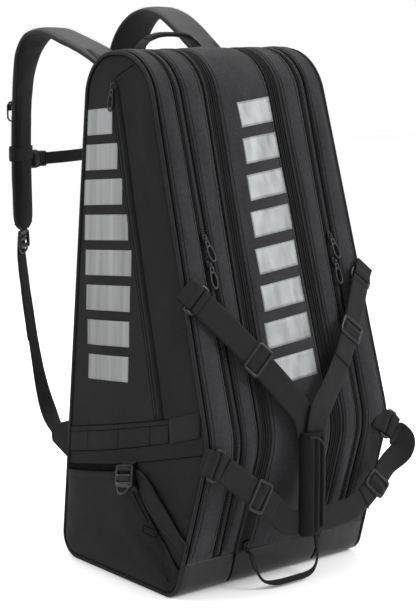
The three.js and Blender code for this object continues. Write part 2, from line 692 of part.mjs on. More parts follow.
// ---- the two lid sliders and the webbing loop that joins them
function lidPuller() {
  const x = (DEEP_SEAM[0] + LID_EDGE[0]) / 2 - 2;
  const z = 72;
  const left = onFace(LOWER_FACE, -x, z, SLIDER_LIFT);
  const right = onFace(LOWER_FACE, x, z, SLIDER_LIFT);
  const loopRoute = [
    [-x, left.y - 6, z - 2, 1, 0, 0.2], [-x + 3, left.y - 12, z - 18, 1, 0, 0.2],
    [-62, -168, 34, 0.9, 0.1, 0.4],
    [-54, -176, 15, 0.6, 0.2, 0.7], [-38, -180, 9.5, 0, 0.5, 0.85], [0, -183, 9, 0, 0.5, 0.85],
    [38, -180, 11, 0, 0.5, 0.85], [54, -174, 22, -0.6, 0.2, 0.7], [62, -166, 40, -0.9, 0.1, 0.4],
    [x - 3, right.y - 12, z - 16, -1, 0, 0.2], [x, right.y - 6, z - 2, -1, 0, 0.2],
  ];
  const loop = band(loopRoute, 9, 2, 30);
  const withLeft = join(loop, inFrame(sliderBody(), left, LOWER_FACE.up, LOWER_FACE.out));
  return join(withLeft, inFrame(sliderBody(), right, LOWER_FACE.up, LOWER_FACE.out));
}
addPart('lid_puller', lidPuller(), 'webbing');

export default bag;
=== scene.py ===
import json
import math

import bmesh
import bpy
import numpy as np
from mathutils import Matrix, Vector


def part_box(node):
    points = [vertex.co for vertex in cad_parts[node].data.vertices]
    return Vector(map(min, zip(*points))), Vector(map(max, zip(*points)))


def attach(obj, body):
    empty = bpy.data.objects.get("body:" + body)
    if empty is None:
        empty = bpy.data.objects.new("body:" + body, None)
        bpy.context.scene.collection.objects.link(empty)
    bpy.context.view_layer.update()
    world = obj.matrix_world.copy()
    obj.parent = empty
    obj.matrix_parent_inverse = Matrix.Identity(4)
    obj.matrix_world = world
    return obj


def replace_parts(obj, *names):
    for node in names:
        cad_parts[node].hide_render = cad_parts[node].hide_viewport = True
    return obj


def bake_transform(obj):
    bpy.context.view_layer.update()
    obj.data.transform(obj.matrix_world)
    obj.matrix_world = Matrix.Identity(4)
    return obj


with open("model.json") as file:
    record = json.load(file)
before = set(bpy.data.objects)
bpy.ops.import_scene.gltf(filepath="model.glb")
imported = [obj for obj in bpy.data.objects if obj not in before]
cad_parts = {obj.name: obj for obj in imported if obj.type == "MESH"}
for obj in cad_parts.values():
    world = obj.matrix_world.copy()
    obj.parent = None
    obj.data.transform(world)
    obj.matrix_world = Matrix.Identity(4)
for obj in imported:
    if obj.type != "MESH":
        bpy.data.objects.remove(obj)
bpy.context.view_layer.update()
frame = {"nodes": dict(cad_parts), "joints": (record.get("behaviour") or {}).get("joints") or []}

# ---------------------------------------------------------------- driving dimensions, millimetres
MM = 0.001
HEIGHT = 780.0
# Corners of the side outline (y, z, rounding radius), clockwise from the back of the base.
OUTLINE = ((158, 0, 36), (-131, 0, 34), (-200, 232, 100), (-43.5, 781, 85), (102, 779, 70))
# Lines round the front: x at the base and x at the top.
EDGE = (180.0, 160.0)
ZIP_OUTER = (126.0, 126.0)
ZIP_INNER = (112.0, 112.0)
DEEP_SEAM = (84.0, 68.0)
LID_EDGE = (64.0, 50.0)
TRIM_HEIGHT = 57.0
BACK_TRIM_HEIGHT = 34.0
TOP_SEAM_Z = 742.0
PIPING_RADIUS = 3.0
SEAM_INSET = 3.4
CLOTH = 1.4
OUTLINE_STEP = 2.0
PANEL_ROW_STEP = 5.0
CORD_STEP = 2.2
STITCH_ROW_STEP = 4.0
WEBBING = 38.0
WEBBING_THICK = 2.0
STRAP_COLUMNS = 13
GATHER = 0.4
SEAM_DIP = 2.0
SIDES = (("left", -1), ("right", 1))
RNG = np.random.default_rng(7)


def on_line(line, z):
    return line[0] + (line[1] - line[0]) * np.asarray(z) / HEIGHT


def shifted(line, by):
    return (line[0] + by, line[1] + by)


def unit(v):
    v = np.asarray(v, float)
    return v / np.maximum(np.linalg.norm(v, axis=-1, keepdims=True), 1e-12)


def smooth(low, high, value):
    t = np.clip((np.asarray(value, float) - low) / (high - low), 0, 1)
    return t * t * (3 - 2 * t)


def squared_off(value, power):
    """Sines or cosines pushed towards a square wave by a power below 1."""
    return np.sign(value) * np.abs(value) ** power


def circle(count):
    """Cosines and sines at even steps round a circle."""
    angle = np.linspace(0, 2 * math.pi, count, endpoint=False)
    return np.cos(angle), np.sin(angle)


def crosswise(path, direction=(1.0, 0, 0)):
    """One direction, across the bag unless another is given, for every point of a path."""
    return np.broadcast_to(direction, path.shape)


# ---------------------------------------------------------------- the side outline
class Outline:
    """The rounded side outline as a closed loop, measured by its length."""

    def __init__(self, corners):
        points = np.array([c[:2] for c in corners], float)
        rows = []
        for i, (_, _, radius) in enumerate(corners):
            here = points[i]
            back = unit(points[i - 1] - here)
            ahead = unit(points[(i + 1) % len(points)] - here)
            half = math.acos(float(back @ ahead)) / 2
            centre = here + unit(back + ahead) * radius / math.sin(half)
            start = here + back * radius / math.tan(half) - centre
            turn = math.pi - 2 * half
            steps = int(turn * radius / OUTLINE_STEP) + 1
            for k in range(steps + 1):
                angle = -turn * k / steps
                c, s = math.cos(angle), math.sin(angle)
                out = unit((start[0] * c - start[1] * s, start[0] * s + start[1] * c))
                rows.append((*(centre + out * radius), *out))
        rows.append(rows[0])
        self.table = np.array(rows)
        gaps = np.linalg.norm(np.diff(self.table[:, :2], axis=0), axis=1)
        self.s = np.concatenate([[0], np.cumsum(gaps)])
        self.length = self.s[-1]

    def at(self, s):
        """y, z and the outward direction at lengths s along the loop."""
        wrapped = np.mod(s, self.length)
        y, z, ny, nz = (np.interp(wrapped, self.s, self.table[:, k]) for k in range(4))
        size = np.hypot(ny, nz)
        return y, z, ny / size, nz / size

    def length_at(self, height, side):
        """Length where the loop passes a height, on the front (side -1) or the back (1)."""
        z = self.table[:, 1]
        for i in range(len(z) - 1):
            rising = z[i + 1] > z[i]
            if z[i] != z[i + 1] and (z[i] - height) * (z[i + 1] - height) <= 0 and rising == (side < 0):
                return self.s[i] + (self.s[i + 1] - self.s[i]) * (height - z[i]) / (z[i + 1] - z[i])
        raise ValueError(f"the outline never passes {height}")

    def depth_inside(self, y, z):
        """How far points lie inside the loop."""
        ring = self.table[::3]
        offset = np.stack([np.ravel(y), np.ravel(z)], -1)[:, None, :] - ring[None, :, :2]
        return (-(offset * ring[None, :, 2:]).sum(-1)).min(1).reshape(np.shape(y))


OUT = Outline(OUTLINE)
BASE_BACK = OUT.length_at(BACK_TRIM_HEIGHT, 1)
BASE_FRONT = OUT.length_at(TRIM_HEIGHT, -1)
TOP_SEAM = OUT.length_at(TOP_SEAM_Z, 1)


# ---------------------------------------------------------------- noise and wrinkles
def wave_set(count, shortest, longest):
    """Random plane waves, as (direction * wavenumber, phase, share)."""
    directions = unit(RNG.normal(size=(count, 3)))
    lengths = np.exp(RNG.uniform(math.log(shortest), math.log(longest), count))
    share = lengths / lengths.sum()
    return directions * (2 * math.pi / lengths)[:, None], RNG.uniform(0, 2 * math.pi, count), share


BROAD = wave_set(14, 70, 210)
FINE = wave_set(16, 16, 46)


def waves(points, wave_group):
    """A smooth value from about -1 to 1 at each point."""
    numbers, phases, share = wave_group
    return (np.sin(points @ numbers.T + phases) * share).sum(-1) * 2.2


def pucker(along, distance, pitch=11.0, reach=9.0):
    """The small gathers that a sewn seam leaves beside it."""
    drift = np.sin(along / 47.0) * 2.1 + np.sin(along / 19.0 + 1.3) * 0.9
    return np.sin(along * 2 * math.pi / pitch + drift) * np.exp(-distance / reach)


# ---------------------------------------------------------------- mesh builders
def make_object(name, points, faces, look, uv=None):
    mesh = bpy.data.meshes.new(name)
    faces = faces.tolist() if isinstance(faces, np.ndarray) else faces
    mesh.from_pydata((np.asarray(points, float) * MM).tolist(), [], faces)
    if uv is not None:
        layer = mesh.uv_layers.new(name="weave")
        corner = np.zeros(len(mesh.loops), np.int32)
        mesh.loops.foreach_get("vertex_index", corner)
        layer.data.foreach_set("uv", np.asarray(uv, np.float32)[corner].ravel())
    mesh.polygons.foreach_set("use_smooth", np.full(len(mesh.polygons), True))
    mesh.update()
    bm = bmesh.new()
    bm.from_mesh(mesh)
    bmesh.ops.recalc_face_normals(bm, faces=bm.faces)
    bm.to_mesh(mesh)
    bm.free()
    piece = bpy.data.objects.new(name, mesh)
    bpy.context.scene.collection.objects.link(piece)
    mesh.materials.append(look)
    return piece


def mount(piece, body="shell", node=None):
    """Lets a piece ride on a body, and hides the CAD node that it stands for, if one is given."""
    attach(piece, body)
    if node:
        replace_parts(piece, node)
    return piece


def grid_faces(rows, cols, close_rows=False, close_cols=False):
    last_row, last_col = (rows if close_rows else rows - 1), (cols if close_cols else cols - 1)
    r, c = np.meshgrid(np.arange(last_row), np.arange(last_col), indexing="ij")
    down, right = (r + 1) % rows, (c + 1) % cols
    quads = np.stack([r * cols + c, r * cols + right, down * cols + right, down * cols + c], -1)
    return quads.reshape(-1, 4)


def slab_parts(top, bottom, close_rows=False):
    """Points and faces of a closed sheet with a top grid, a bottom grid and a rim."""
    rows, cols = top.shape[:2]
    count = rows * cols
    index = np.arange(count).reshape(rows, cols)
    if close_rows:
        borders = [np.append(index[:, 0], index[0, 0]), np.append(index[:, -1], index[0, -1])[::-1]]
    else:
        loop = np.concatenate([index[0], index[1:, -1], index[-1, -2::-1], index[-2:0:-1, 0]])
        borders = [np.append(loop, loop[0])]
    faces = grid_faces(rows, cols, close_rows)
    rims = [np.stack([b[:-1], b[1:], b[1:] + count, b[:-1] + count], -1) for b in borders]
    points = np.concatenate([top.reshape(-1, 3), bottom.reshape(-1, 3)])
    return points, np.concatenate([faces, faces[:, ::-1] + count, *rims])


def slab(name, top, bottom, look, uv, close_rows=False):
    points, faces = slab_parts(top, bottom, close_rows)
    flat = uv.reshape(-1, 2)
    return make_object(name, points, faces, look, np.concatenate([flat, flat]))


def swept(path, across, section, closed=False):
    """Rings of a section (a, b) carried along a path: a goes along `across`, b along the other way."""
    tangent = np.gradient(path, axis=0)
    if closed:
        tangent = np.roll(path, -1, 0) - np.roll(path, 1, 0)
    tangent = unit(tangent)
    side = unit(across - (across * tangent).sum(-1, keepdims=True) * tangent)
    out = np.cross(tangent, side)
    return path[:, None] + section[..., 0:1] * side[:, None] + section[..., 1:2] * out[:, None]


def tube_parts(rings, closed):
    rows, cols = rings.shape[:2]
    points = rings.reshape(-1, 3)
    faces = grid_faces(rows, cols, closed, True).tolist()
    if not closed:
        faces.append(list(range(cols))[::-1])
        faces.append(list(range((rows - 1) * cols, rows * cols)))
    return points, faces


def tube(name, rings, look, closed=False, pitch=2.0):
    points, faces = tube_parts(rings, closed)
    rows, cols = rings.shape[:2]
    v, u = np.meshgrid(np.arange(rows) * pitch, np.arange(cols) * pitch, indexing="ij")
    return make_object(name, points, faces, look, np.stack([u, v], -1).reshape(-1, 2))


def round_section(radius_a, radius_b, count=12, power=1.0):
    """A closed section; a power below 1 squares it off."""
    angle = np.arange(count) * 2 * math.pi / count
    a, b = squared_off(np.cos(angle), power), squared_off(np.sin(angle), power)
    return np.stack([radius_a * a, radius_b * b], -1)


def rod(name, path, section, look, body="shell", across=None):
    """A tube of one section along a path, on a body."""
    across = crosswise(path) if across is None else across
    return mount(tube(name, swept(path, across, section), look), body)


def curve_through(points, per_span):
    """A centripetal Catmull-Rom curve; each point is a row of any width."""
    p = np.array(points, float)
    p = np.concatenate([[2 * p[0] - p[1]], p, [2 * p[-1] - p[-2]]])
    rows = []
    for i in range(1, len(p) - 2):
        p0, p1, p2, p3 = p[i - 1], p[i], p[i + 1], p[i + 2]
        spans = ((p0, p1), (p1, p2), (p2, p3))
        d0, d1, d2 = (max(np.linalg.norm((b - a)[:3]), 1e-6) ** 0.5 for a, b in spans)
        m1 = ((p1 - p0) / d0 - (p2 - p0) / (d0 + d1) + (p2 - p1) / d1) * d1
        m2 = ((p2 - p1) / d1 - (p3 - p1) / (d1 + d2) + (p3 - p2) / d2) * d1
        for t in np.arange(per_span) / per_span:
            cubic = p1 + m1 * t + (3 * (p2 - p1) - 2 * m1 - m2) * t * t
            rows.append(cubic + (2 * (p1 - p2) + m1 + m2) * t ** 3)
    rows.append(p[-2])
    return np.array(rows)


def arc_lengths(path):
    return np.concatenate([[0], np.cumsum(np.linalg.norm(np.diff(path, axis=0), axis=1))])


def at_marks(marks, along, grid):
    """Each column of a grid, read off at chosen lengths along it."""
    return np.stack([np.interp(marks, along, grid[:, k]) for k in range(grid.shape[1])], -1)


# ---------------------------------------------------------------- stitching
STITCH = np.array([
    (-1.0, 0, 0.1), (-0.7, 0.5, 0.15), (-0.7, 0, 0.75), (-0.7, -0.5, 0.15), (0, 0.62, 0.25), (0, 0, 1.0),
    (0, -0.62, 0.25), (0.7, 0.5, 0.15), (0.7, 0, 0.75), (0.7, -0.5, 0.15), (1.0, 0, 0.1), (0, 0, -0.5),
])
STITCH_FACES = (
    (0, 1, 2), (0, 2, 3), (1, 4, 5, 2), (2, 5, 6, 3), (4, 7, 8, 5), (5, 8, 9, 6), (7, 10, 8), (8, 10, 9),
    (0, 11, 1), (0, 3, 11), (1, 11, 4), (3, 6, 11), (4, 11, 7), (6, 9, 11), (7, 11, 10), (9, 10, 11),
)


class Thread:
    """Gathers rows of stitches, and makes one piece of them."""

    def __init__(self):
        self.points = []

    def row(self, path, outward, pitch=4.2, length=3.0, width=0.9, height=0.45):
        """Stitches along a path; outward is one direction or one for each point."""
        path = np.asarray(path, float)
        outward = np.broadcast_to(np.asarray(outward, float), path.shape)
        along = arc_lengths(path)
        marks = np.arange(pitch / 2, along[-1], pitch)
        centre = at_marks(marks, along, path)
        t = unit(at_marks(marks, along, np.gradient(path, axis=0)))
        n = unit(at_marks(marks, along, outward))
        b = np.cross(n, t)
        shape = STITCH * (length / 2, width / 2, height)
        for k in range(len(marks)):
            self.points.append(centre[k] + shape[:, :1] * t[k] + shape[:, 1:2] * b[k] + shape[:, 2:] * n[k])

    def make(self, name, body, look):
        count = len(self.points)
        step = len(STITCH)
        faces = [[v + k * step for v in face] for k in range(count) for face in STITCH_FACES]
        return mount(make_object(name, np.concatenate(self.points), faces, look), body)


# ---------------------------------------------------------------- materials
class Nodes:
    """Adds and links the nodes of one material."""

    def __init__(self, name):
        self.material = bpy.data.materials.new(name)
        self.material.use_nodes = True
        self.tree = self.material.node_tree
        self.shader = self.tree.nodes["Principled BSDF"]

    def add(self, kind, inputs=(), **settings):
        node = self.tree.nodes.new("ShaderNode" + kind)
        for key, value in settings.items():
            setattr(node, key, value)
        for key, value in dict(inputs).items():
            if isinstance(value, bpy.types.NodeSocket):
                self.tree.links.new(value, node.inputs[key])
            else:
                node.inputs[key].default_value = value
        return node

    def maths(self, operation, a, b=0.0):
        return self.add("Math", {0: a, 1: b}, operation=operation).outputs[0]

    def total(self, *terms):
        """The sum of terms, each a socket and its weight."""
        parts = [value if weight == 1 else self.maths("MULTIPLY", value, weight) for value, weight in terms]
        result = parts[0]
        for part in parts[1:]:
            result = self.maths("ADD", result, part)
        return result

    def place(self):
        return self.add("TexCoord").outputs["Object"]

    def noise(self, scale, detail=2.0, stretch=None):
        at = self.place()
        if stretch:
            at = self.add("Mapping", {"Vector": at, "Scale": stretch}).outputs[0]
        return self.add("TexNoise", {"Vector": at, "Scale": scale, "Detail": detail}).outputs["Fac"]

    def weave_axes(self):
        """The weave's own coordinates in millimetres, across and along the yarns."""
        split = self.add("SeparateXYZ", {0: self.add("UVMap", uv_map="weave").outputs[0]})
        return split.outputs[0], split.outputs[1]

    def wave(self, value, pitch):
        return self.maths("SINE", self.maths("MULTIPLY", value, 2 * math.pi / pitch))

    def colour(self, factor, low, high):
        ramp = self.add("MixRGB", {0: factor, 1: (*low, 1), 2: (*high, 1)})
        self.tree.links.new(ramp.outputs[0], self.shader.inputs["Base Color"])

    def bump(self, height, depth):
        node = self.add("Bump", {"Height": height, "Distance": depth, "Strength": 1.0})
        self.tree.links.new(node.outputs[0], self.shader.inputs["Normal"])

    def roughness(self, factor, low, high):
        value = self.add("MapRange", {0: factor, 3: low, 4: high}).outputs[0]
        self.tree.links.new(value, self.shader.inputs["Roughness"])

    def finished(self, **inputs):
        """Sets plain numbers on the shader's own sockets, and gives the material."""
        for key, value in inputs.items():
            self.shader.inputs[SOCKETS[key]].default_value = value
        return self.material


SOCKETS = {"gloss": "Specular IOR Level", "sheen": "Sheen Weight", "sheen_rough": "Sheen Roughness",
           "metal": "Metallic", "rough": "Roughness", "glow": "Emission Strength"}


def tone(colour, factor):
    return tuple(c * factor for c in colour)


def woven(name, colour, pitch, depth, sheen=0.05, rough=(0.7, 0.95), ridge=0.0, gloss=0.15):
    """Plain-woven cloth: yarns over and under, mottled yarn colour and slow drift of the dye."""
    n = Nodes(name)
    u, v = n.weave_axes()
    over = n.maths("MULTIPLY", n.wave(u, pitch * 2), n.wave(v, pitch * 2))
    if ridge:
        over = n.total((over, 1), (n.wave(u, ridge), 0.8))
    yarn, slub, slow = n.noise(620, 3.0), n.noise(430, 2.0, (1, 1, 0.6)), n.noise(17, 2.0)
    # The weave's over-and-under term also tints the colour: a faint painted highlight on the yarn tops and
    # painted shade in the dips.
    mix = n.total((over, 0.16), (yarn, 1.1), (slow, 0.55), (slub, 1))
    n.colour(n.maths("SUBTRACT", mix, 0.85), tone(colour, 0.3), tone(colour, 1.75))
    n.bump(n.total((over, 1), (yarn, 1.2)), depth)
    n.roughness(yarn, *rough)
    return n.finished(sheen=sheen, sheen_rough=0.45, gloss=gloss)


def webbing_look(name, colour, rib, pick):
    """Heavy webbing: ribs along its length, crossed by slanted picks; the colour follows their height,
    painted highlight on the rib tops and painted shade in the grooves.
    """
    n = Nodes(name)
    u, v = n.weave_axes()
    slant = n.total((v, 1), (n.maths("ABSOLUTE", n.wave(u, rib * 2)), pick * 0.6))
    height = n.total((n.wave(u, rib), 1), (n.wave(slant, pick), 0.55))
    fuzz = n.noise(900, 2.0)
    # Colour from the rib height: painted highlight on the tops, painted shade down in the grooves.
    n.colour(n.total((height, 0.3), (fuzz, 1)), tone(colour, 0.0), tone(colour, 1.9))
    n.bump(n.total((height, 1), (fuzz, 0.5)), 0.00016)
    n.roughness(fuzz, 0.6, 0.9)
    return n.finished(sheen=0.02, sheen_rough=0.4, gloss=0.15)


def coated(name, colour, rough=(0.34, 0.52), gloss=0.4):
    """Coated cloth: a satin skin with a fine pebbled grain and faint scuffs."""
    n = Nodes(name)
    grain = n.add("TexVoronoi", {"Vector": n.place(), "Scale": 900}).outputs["Distance"]
    scuff = n.noise(42, 5.0, (1, 1, 0.35))
    n.colour(n.total((scuff, 1), (grain, 0.3)), tone(colour, 0.72), tone(colour, 1.22))
    n.bump(grain, 0.00009)
    n.roughness(scuff, *rough)
    return n.finished(gloss=gloss)


def spacer_mesh(name, colour):
    """Open air mesh: rows of small holes in a knitted face, painted near black as the shade inside them."""
    n = Nodes(name)
    u, v = n.weave_axes()
    holes = n.maths("MULTIPLY", n.wave(u, 4.4), n.wave(v, 3.6))
    shape = n.add("MapRange", {0: holes, 1: 0.1, 2: 0.6}).outputs[0]
    knit = n.noise(1100, 2.0)
    # The holes are painted dark: painted shade inside them.
    n.colour(n.maths("SUBTRACT", n.maths("ADD", knit, 0.35), shape), tone(colour, 0.05), tone(colour, 1.3))
    n.bump(n.maths("SUBTRACT", knit, n.maths("MULTIPLY", shape, 2.0)), 0.0005)
    n.roughness(knit, 0.75, 1.0)
    return n.finished(sheen=0.03, sheen_rough=0.5, gloss=0.12)


def moulded(name, colour, rough, gloss):
    """Moulded plastic: fine spark-eroded texture, with slight wear to a lighter tone."""
    n = Nodes(name)
    texture, wear = n.noise(2600, 2.0), n.noise(70, 4.0)
    n.colour(n.maths("MULTIPLY", wear, n.maths("ADD", texture, 0.5)), tone(colour, 0.8), tone(colour, 1.5))
    n.bump(texture, 0.00004)
    n.roughness(wear, *rough)
    return n.finished(gloss=gloss)


def silver_print(name):
    """Metallic transfer print: brushed vertical streaks over the weave that shows through."""
    n = Nodes(name)
    streak, weave = n.noise(75, 3.0, (1, 1, 0.03)), n.noise(700, 2.0)
    n.colour(n.total((streak, 0.85), (weave, 0.15)), (0.06, 0.063, 0.063), (0.31, 0.32, 0.32))
    n.bump(weave, 0.00005)
    n.roughness(streak, 0.52, 0.66)
    return n.finished(metal=0.75)


# Roughness of cloth that rubbing has polished.
WORN = (0.5, 0.75)
FRONT_CLOTH = woven("front_cloth", (0.0150, 0.0142, 0.0160), 0.9, 0.0002, sheen=0.05, gloss=0.14)
SIDE_CLOTH = woven("side_cloth", (0.0062, 0.0060, 0.0062), 0.9, 0.0002, sheen=0.02, gloss=0.1)
PIPING_CLOTH = woven("piping_cloth", (0.0105, 0.0102, 0.0108), 0.8, 0.00012, sheen=0.02, gloss=0.14)
BINDING = woven("binding_tape", (0.0048, 0.0048, 0.0050), 0.8, 0.00012, sheen=0.03, gloss=0.16, rough=WORN)
# Near-black cloth for thin cords and sheets at seams, slots and openings: painted shade where the cloth folds
# under or a gap stands open.
PAINTED_SHADE = woven("painted_shade", (0.0016, 0.0016, 0.0018), 0.8, 0.00012, sheen=0.0, gloss=0.05)
LINING = woven("lining_cloth", (0.004, 0.004, 0.0044), 0.7, 0.00008, sheen=0.01, gloss=0.08)
TARPAULIN = coated("tarpaulin", (0.0062, 0.0063, 0.0074), gloss=0.26)
PAD_FACE = coated("pad_face", (0.0100, 0.0102, 0.0108), (0.5, 0.66), gloss=0.34)
GRIP_CLOTH = woven("grip_cloth", (0.0026, 0.0026, 0.0028), 0.7, 0.00012, sheen=0.01, gloss=0.08, rough=WORN)
PAD_MESH = spacer_mesh("pad_mesh", (0.0080, 0.0080, 0.0084))
BAND_WEB = webbing_look("band_webbing", (0.0044, 0.0044, 0.0046), 2.2, 1.9)
WEB = webbing_look("carry_webbing", (0.0052, 0.0053, 0.0057), 2.4, 1.7)
NARROW_WEB = webbing_look("narrow_webbing", (0.0052, 0.0052, 0.0055), 1.9, 1.3)
ZIP_TAPE = woven("zip_tape", (0.0060, 0.0060, 0.0063), 0.6, 0.00012, sheen=0.02, gloss=0.12, ridge=1.8)
COIL = moulded("zip_coil", (0.0075, 0.0078, 0.0080), (0.3, 0.42), 0.4)
PLASTIC = moulded("black_acetal", (0.0032, 0.0033, 0.0036), (0.26, 0.42), 0.25)
PAINTED = moulded("painted_metal", (0.0028, 0.0028, 0.0031), (0.3, 0.44), 0.2)
STITCHING = woven("thread", (0.0030, 0.0030, 0.0032), 0.5, 0.0001, sheen=0.02, gloss=0.1, rough=(0.5, 0.7))
SILVER = silver_print("silver_print")

THREADS = {body: Thread() for body in ("shell", "harness", "carry_grip", "haul_handle")}


# ---------------------------------------------------------------- the sewn shell
def strip(line_a, line_b, cols, start=BASE_FRONT, end=TOP_SEAM):
    """Places on the shell between two lines: lengths s down the rows, shares t across the columns."""
    end = end + OUT.length if end < start else end
    s = np.linspace(start, end, int((end - start) / PANEL_ROW_STEP) + 1)
    even = np.linspace(0, 1, cols)
    t = 0.45 * even + 0.55 * (0.5 - 0.5 * np.cos(math.pi * even))
    y, z, ny, nz = (value[:, None] + 0 * t for value in OUT.at(s))
    x = on_line(line_a, z) * (1 - t) + on_line(line_b, z) * t
    width = np.abs(on_line(line_b, z) - on_line(line_a, z))
    return {
        "s": s[:, None] + 0 * t, "t": t + 0 * s[:, None], "x": x, "y": y, "z": z, "ny": ny, "nz": nz,
        "edge": np.minimum(t, 1 - t) * width, "end": np.minimum(s - start, end - s)[:, None] + 0 * t,
        "uv": np.stack([x, s[:, None] + 0 * t], -1),
    }


def raised(place, height):
    return np.stack([place["x"], place["y"] + place["ny"] * height, place["z"] + place["nz"] * height], -1)


def on_shell(line, s, height):
    """Points over a line of the shell at lengths s, and the outward direction at each."""
    y, z, ny, nz = OUT.at(s)
    path = np.stack([on_line(line, z), y + ny * height, z + nz * height], -1)
    return path, np.stack([0 * ny, ny, nz], -1)


def sewn(place, bulge):
    """Height of a sewn panel: crowned between its seams, gathered beside them, with slack folds."""
    crown = (1 - (2 * place["t"] - 1) ** 2) ** 0.65
    ends = smooth(0, 60, place["end"])
    flat = raised(place, 0)
    slack = waves(flat, BROAD) * 1.5 + waves(flat, FINE) * 0.4
    bulge = bulge * (1 - 0.65 * smooth(640, 750, place["z"]))
    height = bulge * crown * (0.35 + 0.65 * ends) * (1 + 0.16 * waves(flat, BROAD))
    height = height + slack * smooth(0, 16, place["edge"]) * smooth(0, 16, place["end"])
    height = height + pucker(place["s"], place["edge"]) * GATHER
    height = height + pucker(place["x"], place["end"], 13.0, 12.0) * GATHER
    dip = np.exp(-place["edge"] / 1.7) + np.exp(-place["end"] / 1.7)
    return height - SEAM_DIP * np.minimum(dip, 1)


def shell_piece(name, place, height, look, thick=CLOTH):
    piece = slab(name + "_cloth", raised(place, height), raised(place, height - thick), look, place["uv"])
    return mount(piece, "shell", name)


def seam_row(line, height, start, end):
    """A row of stitches along a line of the shell, at a height above the outline."""
    end = end + OUT.length if end < start else end
    THREADS["shell"].row(*on_shell(line, np.arange(start, end, STITCH_ROW_STEP), height))


def panel_row(name, place, height, distance):
    """Stitches in a drawn-in line that follow a panel's own surface, a distance in from its long edges."""
    inner_rows = slice(2, -2)
    width = (place["edge"] / np.maximum(np.minimum(place["t"], 1 - place["t"]), 1e-6))[:, 1:2]
    from_edge = (place["t"] * width).mean(0)
    surface = raised(place, height + 0.1)
    for target in (distance, from_edge[-1] - distance):
        column = np.argmin(np.abs(from_edge - target))
        ny, nz = place["ny"][inner_rows, column], place["nz"][inner_rows, column]
        path = surface[inner_rows, column]
        THREADS["shell"].row(path, np.stack([0 * ny, ny, nz], -1))
        # A thin near-black cord beside each row of stitches: painted shade in the stitch furrow.
        rod(f"{name}_line_{distance:g}_{column}", path, round_section(0.42, 0.3, 6), PAINTED_SHADE)


def mirrored(line):
    return (-line[0], -line[1])


def turned(line, sign):
    return line if sign > 0 else mirrored(line)


def front_panels():
    edge_line = shifted(LID_EDGE, -0.4)
    lid = strip(mirrored(edge_line), edge_line, 57)
    panels = [("centre_lid", lid, LID_BULGE, (2.2, 6.8))]
    for side, sign in SIDES:
        for name, low, high, cols, bulge in (
            ("_outer_gusset", shifted(ZIP_OUTER, 0.4), shifted(EDGE, -SEAM_INSET), 33, 5.5),
            ("_inner_gusset", shifted(DEEP_SEAM, 2.8), shifted(ZIP_INNER, -0.4), 25, 4.2),
        ):
            place = strip(turned(low, sign), turned(high, sign), cols)
            panels.append((side + name, place, bulge, (2.4, 6.6)))
    for name, place, bulge, distances in panels:
        height = sewn(place, bulge)
        shell_piece(name, place, height, FRONT_CLOTH)
        for distance in distances:
            panel_row(name, place, height, distance)


def placket(side, sign):
    """The covered zip of the lid: four rolled ridges, the middle groove the deepest."""
    place = strip(turned(shifted(DEEP_SEAM, -2.2), sign), turned(LID_EDGE, sign), 41)
    ridges = np.abs(np.sin(place["t"] * 4 * math.pi)) ** 0.6
    groove = np.exp(-((place["t"] - 0.5) / 0.045) ** 2)
    drift = waves(raised(place, 0), BROAD) * 0.5
    height = -1.4 + 2.2 * ridges - 1.4 * groove + drift * smooth(0, 4, place["edge"])
    shell_piece(side + "_lid_zip", place, height, ZIP_TAPE, 1.2)


def covered_cord(name, path, section, swell, look, closed=False, pitch=1.4, node=None):
    """A cloth-covered cord on the shell, swelling between the stitches that hold it."""
    rings = swept(path, crosswise(path), section, closed)
    rings = path[:, None] + (rings - path[:, None]) * swell[:, None, None]
    mount(tube(name, rings, look, closed, pitch), "shell", node)


def cord_on_shell(name, line, radius, height, start=BASE_FRONT, end=TOP_SEAM, look=PAINTED_SHADE):
    """A covered cord along a line of the shell; unless another look is given, it is near black, painted shade
    where the cloth folds under at a seam.
    """
    s = np.arange(start, end, CORD_STEP)
    swell = 1 + 0.035 * np.sin(s * 2 * math.pi / 8.8)
    covered_cord(name, on_shell(line, s, height)[0], round_section(radius, radius, 10), swell, look)


def deep_pipings():
    trim_start = OUT.length_at(9, -1)
    for side, sign in SIDES:
        line = turned(DEEP_SEAM, sign)
        cord_on_shell(side + "_lid_piping", line, 2.3, -0.2, BASE_FRONT - 1, look=BINDING)
        # Thin near-black cords on both sides of the piping: painted shade in the folds.
        for label, by in (("inner", -3.0), ("outer", 3.2)):
            beside = turned(shifted(DEEP_SEAM, by), sign)
            cord_on_shell(f"{side}_lid_fold_{label}", beside, 1.0, -1.2)
        # A near-black cord down the trim below the piping: painted shade along its seam.
        cord_on_shell(side + "_trim_piping", line, 1.5, 0.1, trim_start, BASE_FRONT)


def below_edge(sign, s, depth, beyond=0.0):
    """The bag's side edge at lengths s, drawn in from the outline by a depth."""
    y, z, ny, nz = OUT.at(s)
    z = z - nz * depth
    return np.stack([sign * (on_line(EDGE, z) + beyond), y - ny * depth, z], -1)


def edge_piping(side, sign):
    """The thick piping round the side panel, and thin near-black cords on both sides of it: painted shade in
    the seams.
    """
    s = np.arange(0, OUT.length - 1.0, CORD_STEP)
    swell = np.minimum(1 + 0.03 * np.sin(s * 2 * math.pi / 9.6), 1.0)
    path, section = below_edge(sign, s, PIPING_RADIUS), round_section(PIPING_RADIUS - 0.1, PIPING_RADIUS, 12)
    covered_cord(side + "_piping_cover", path, section, swell, PIPING_CLOTH, True, 1.5, side + "_piping")
    inside = turned(shifted(EDGE, -SEAM_INSET - 0.4), sign)
    cord_on_shell(side + "_piping_seam", inside, 1.1, -0.9)
    s = np.arange(BASE_FRONT, OUT.length_at(700, 1), STITCH_ROW_STEP)
    seam = below_edge(sign, s, 2 * PIPING_RADIUS + 0.3, 0.5)
    rod(side + "_piping_side_seam", seam, round_section(0.8, 1.0, 8), PAINTED_SHADE)


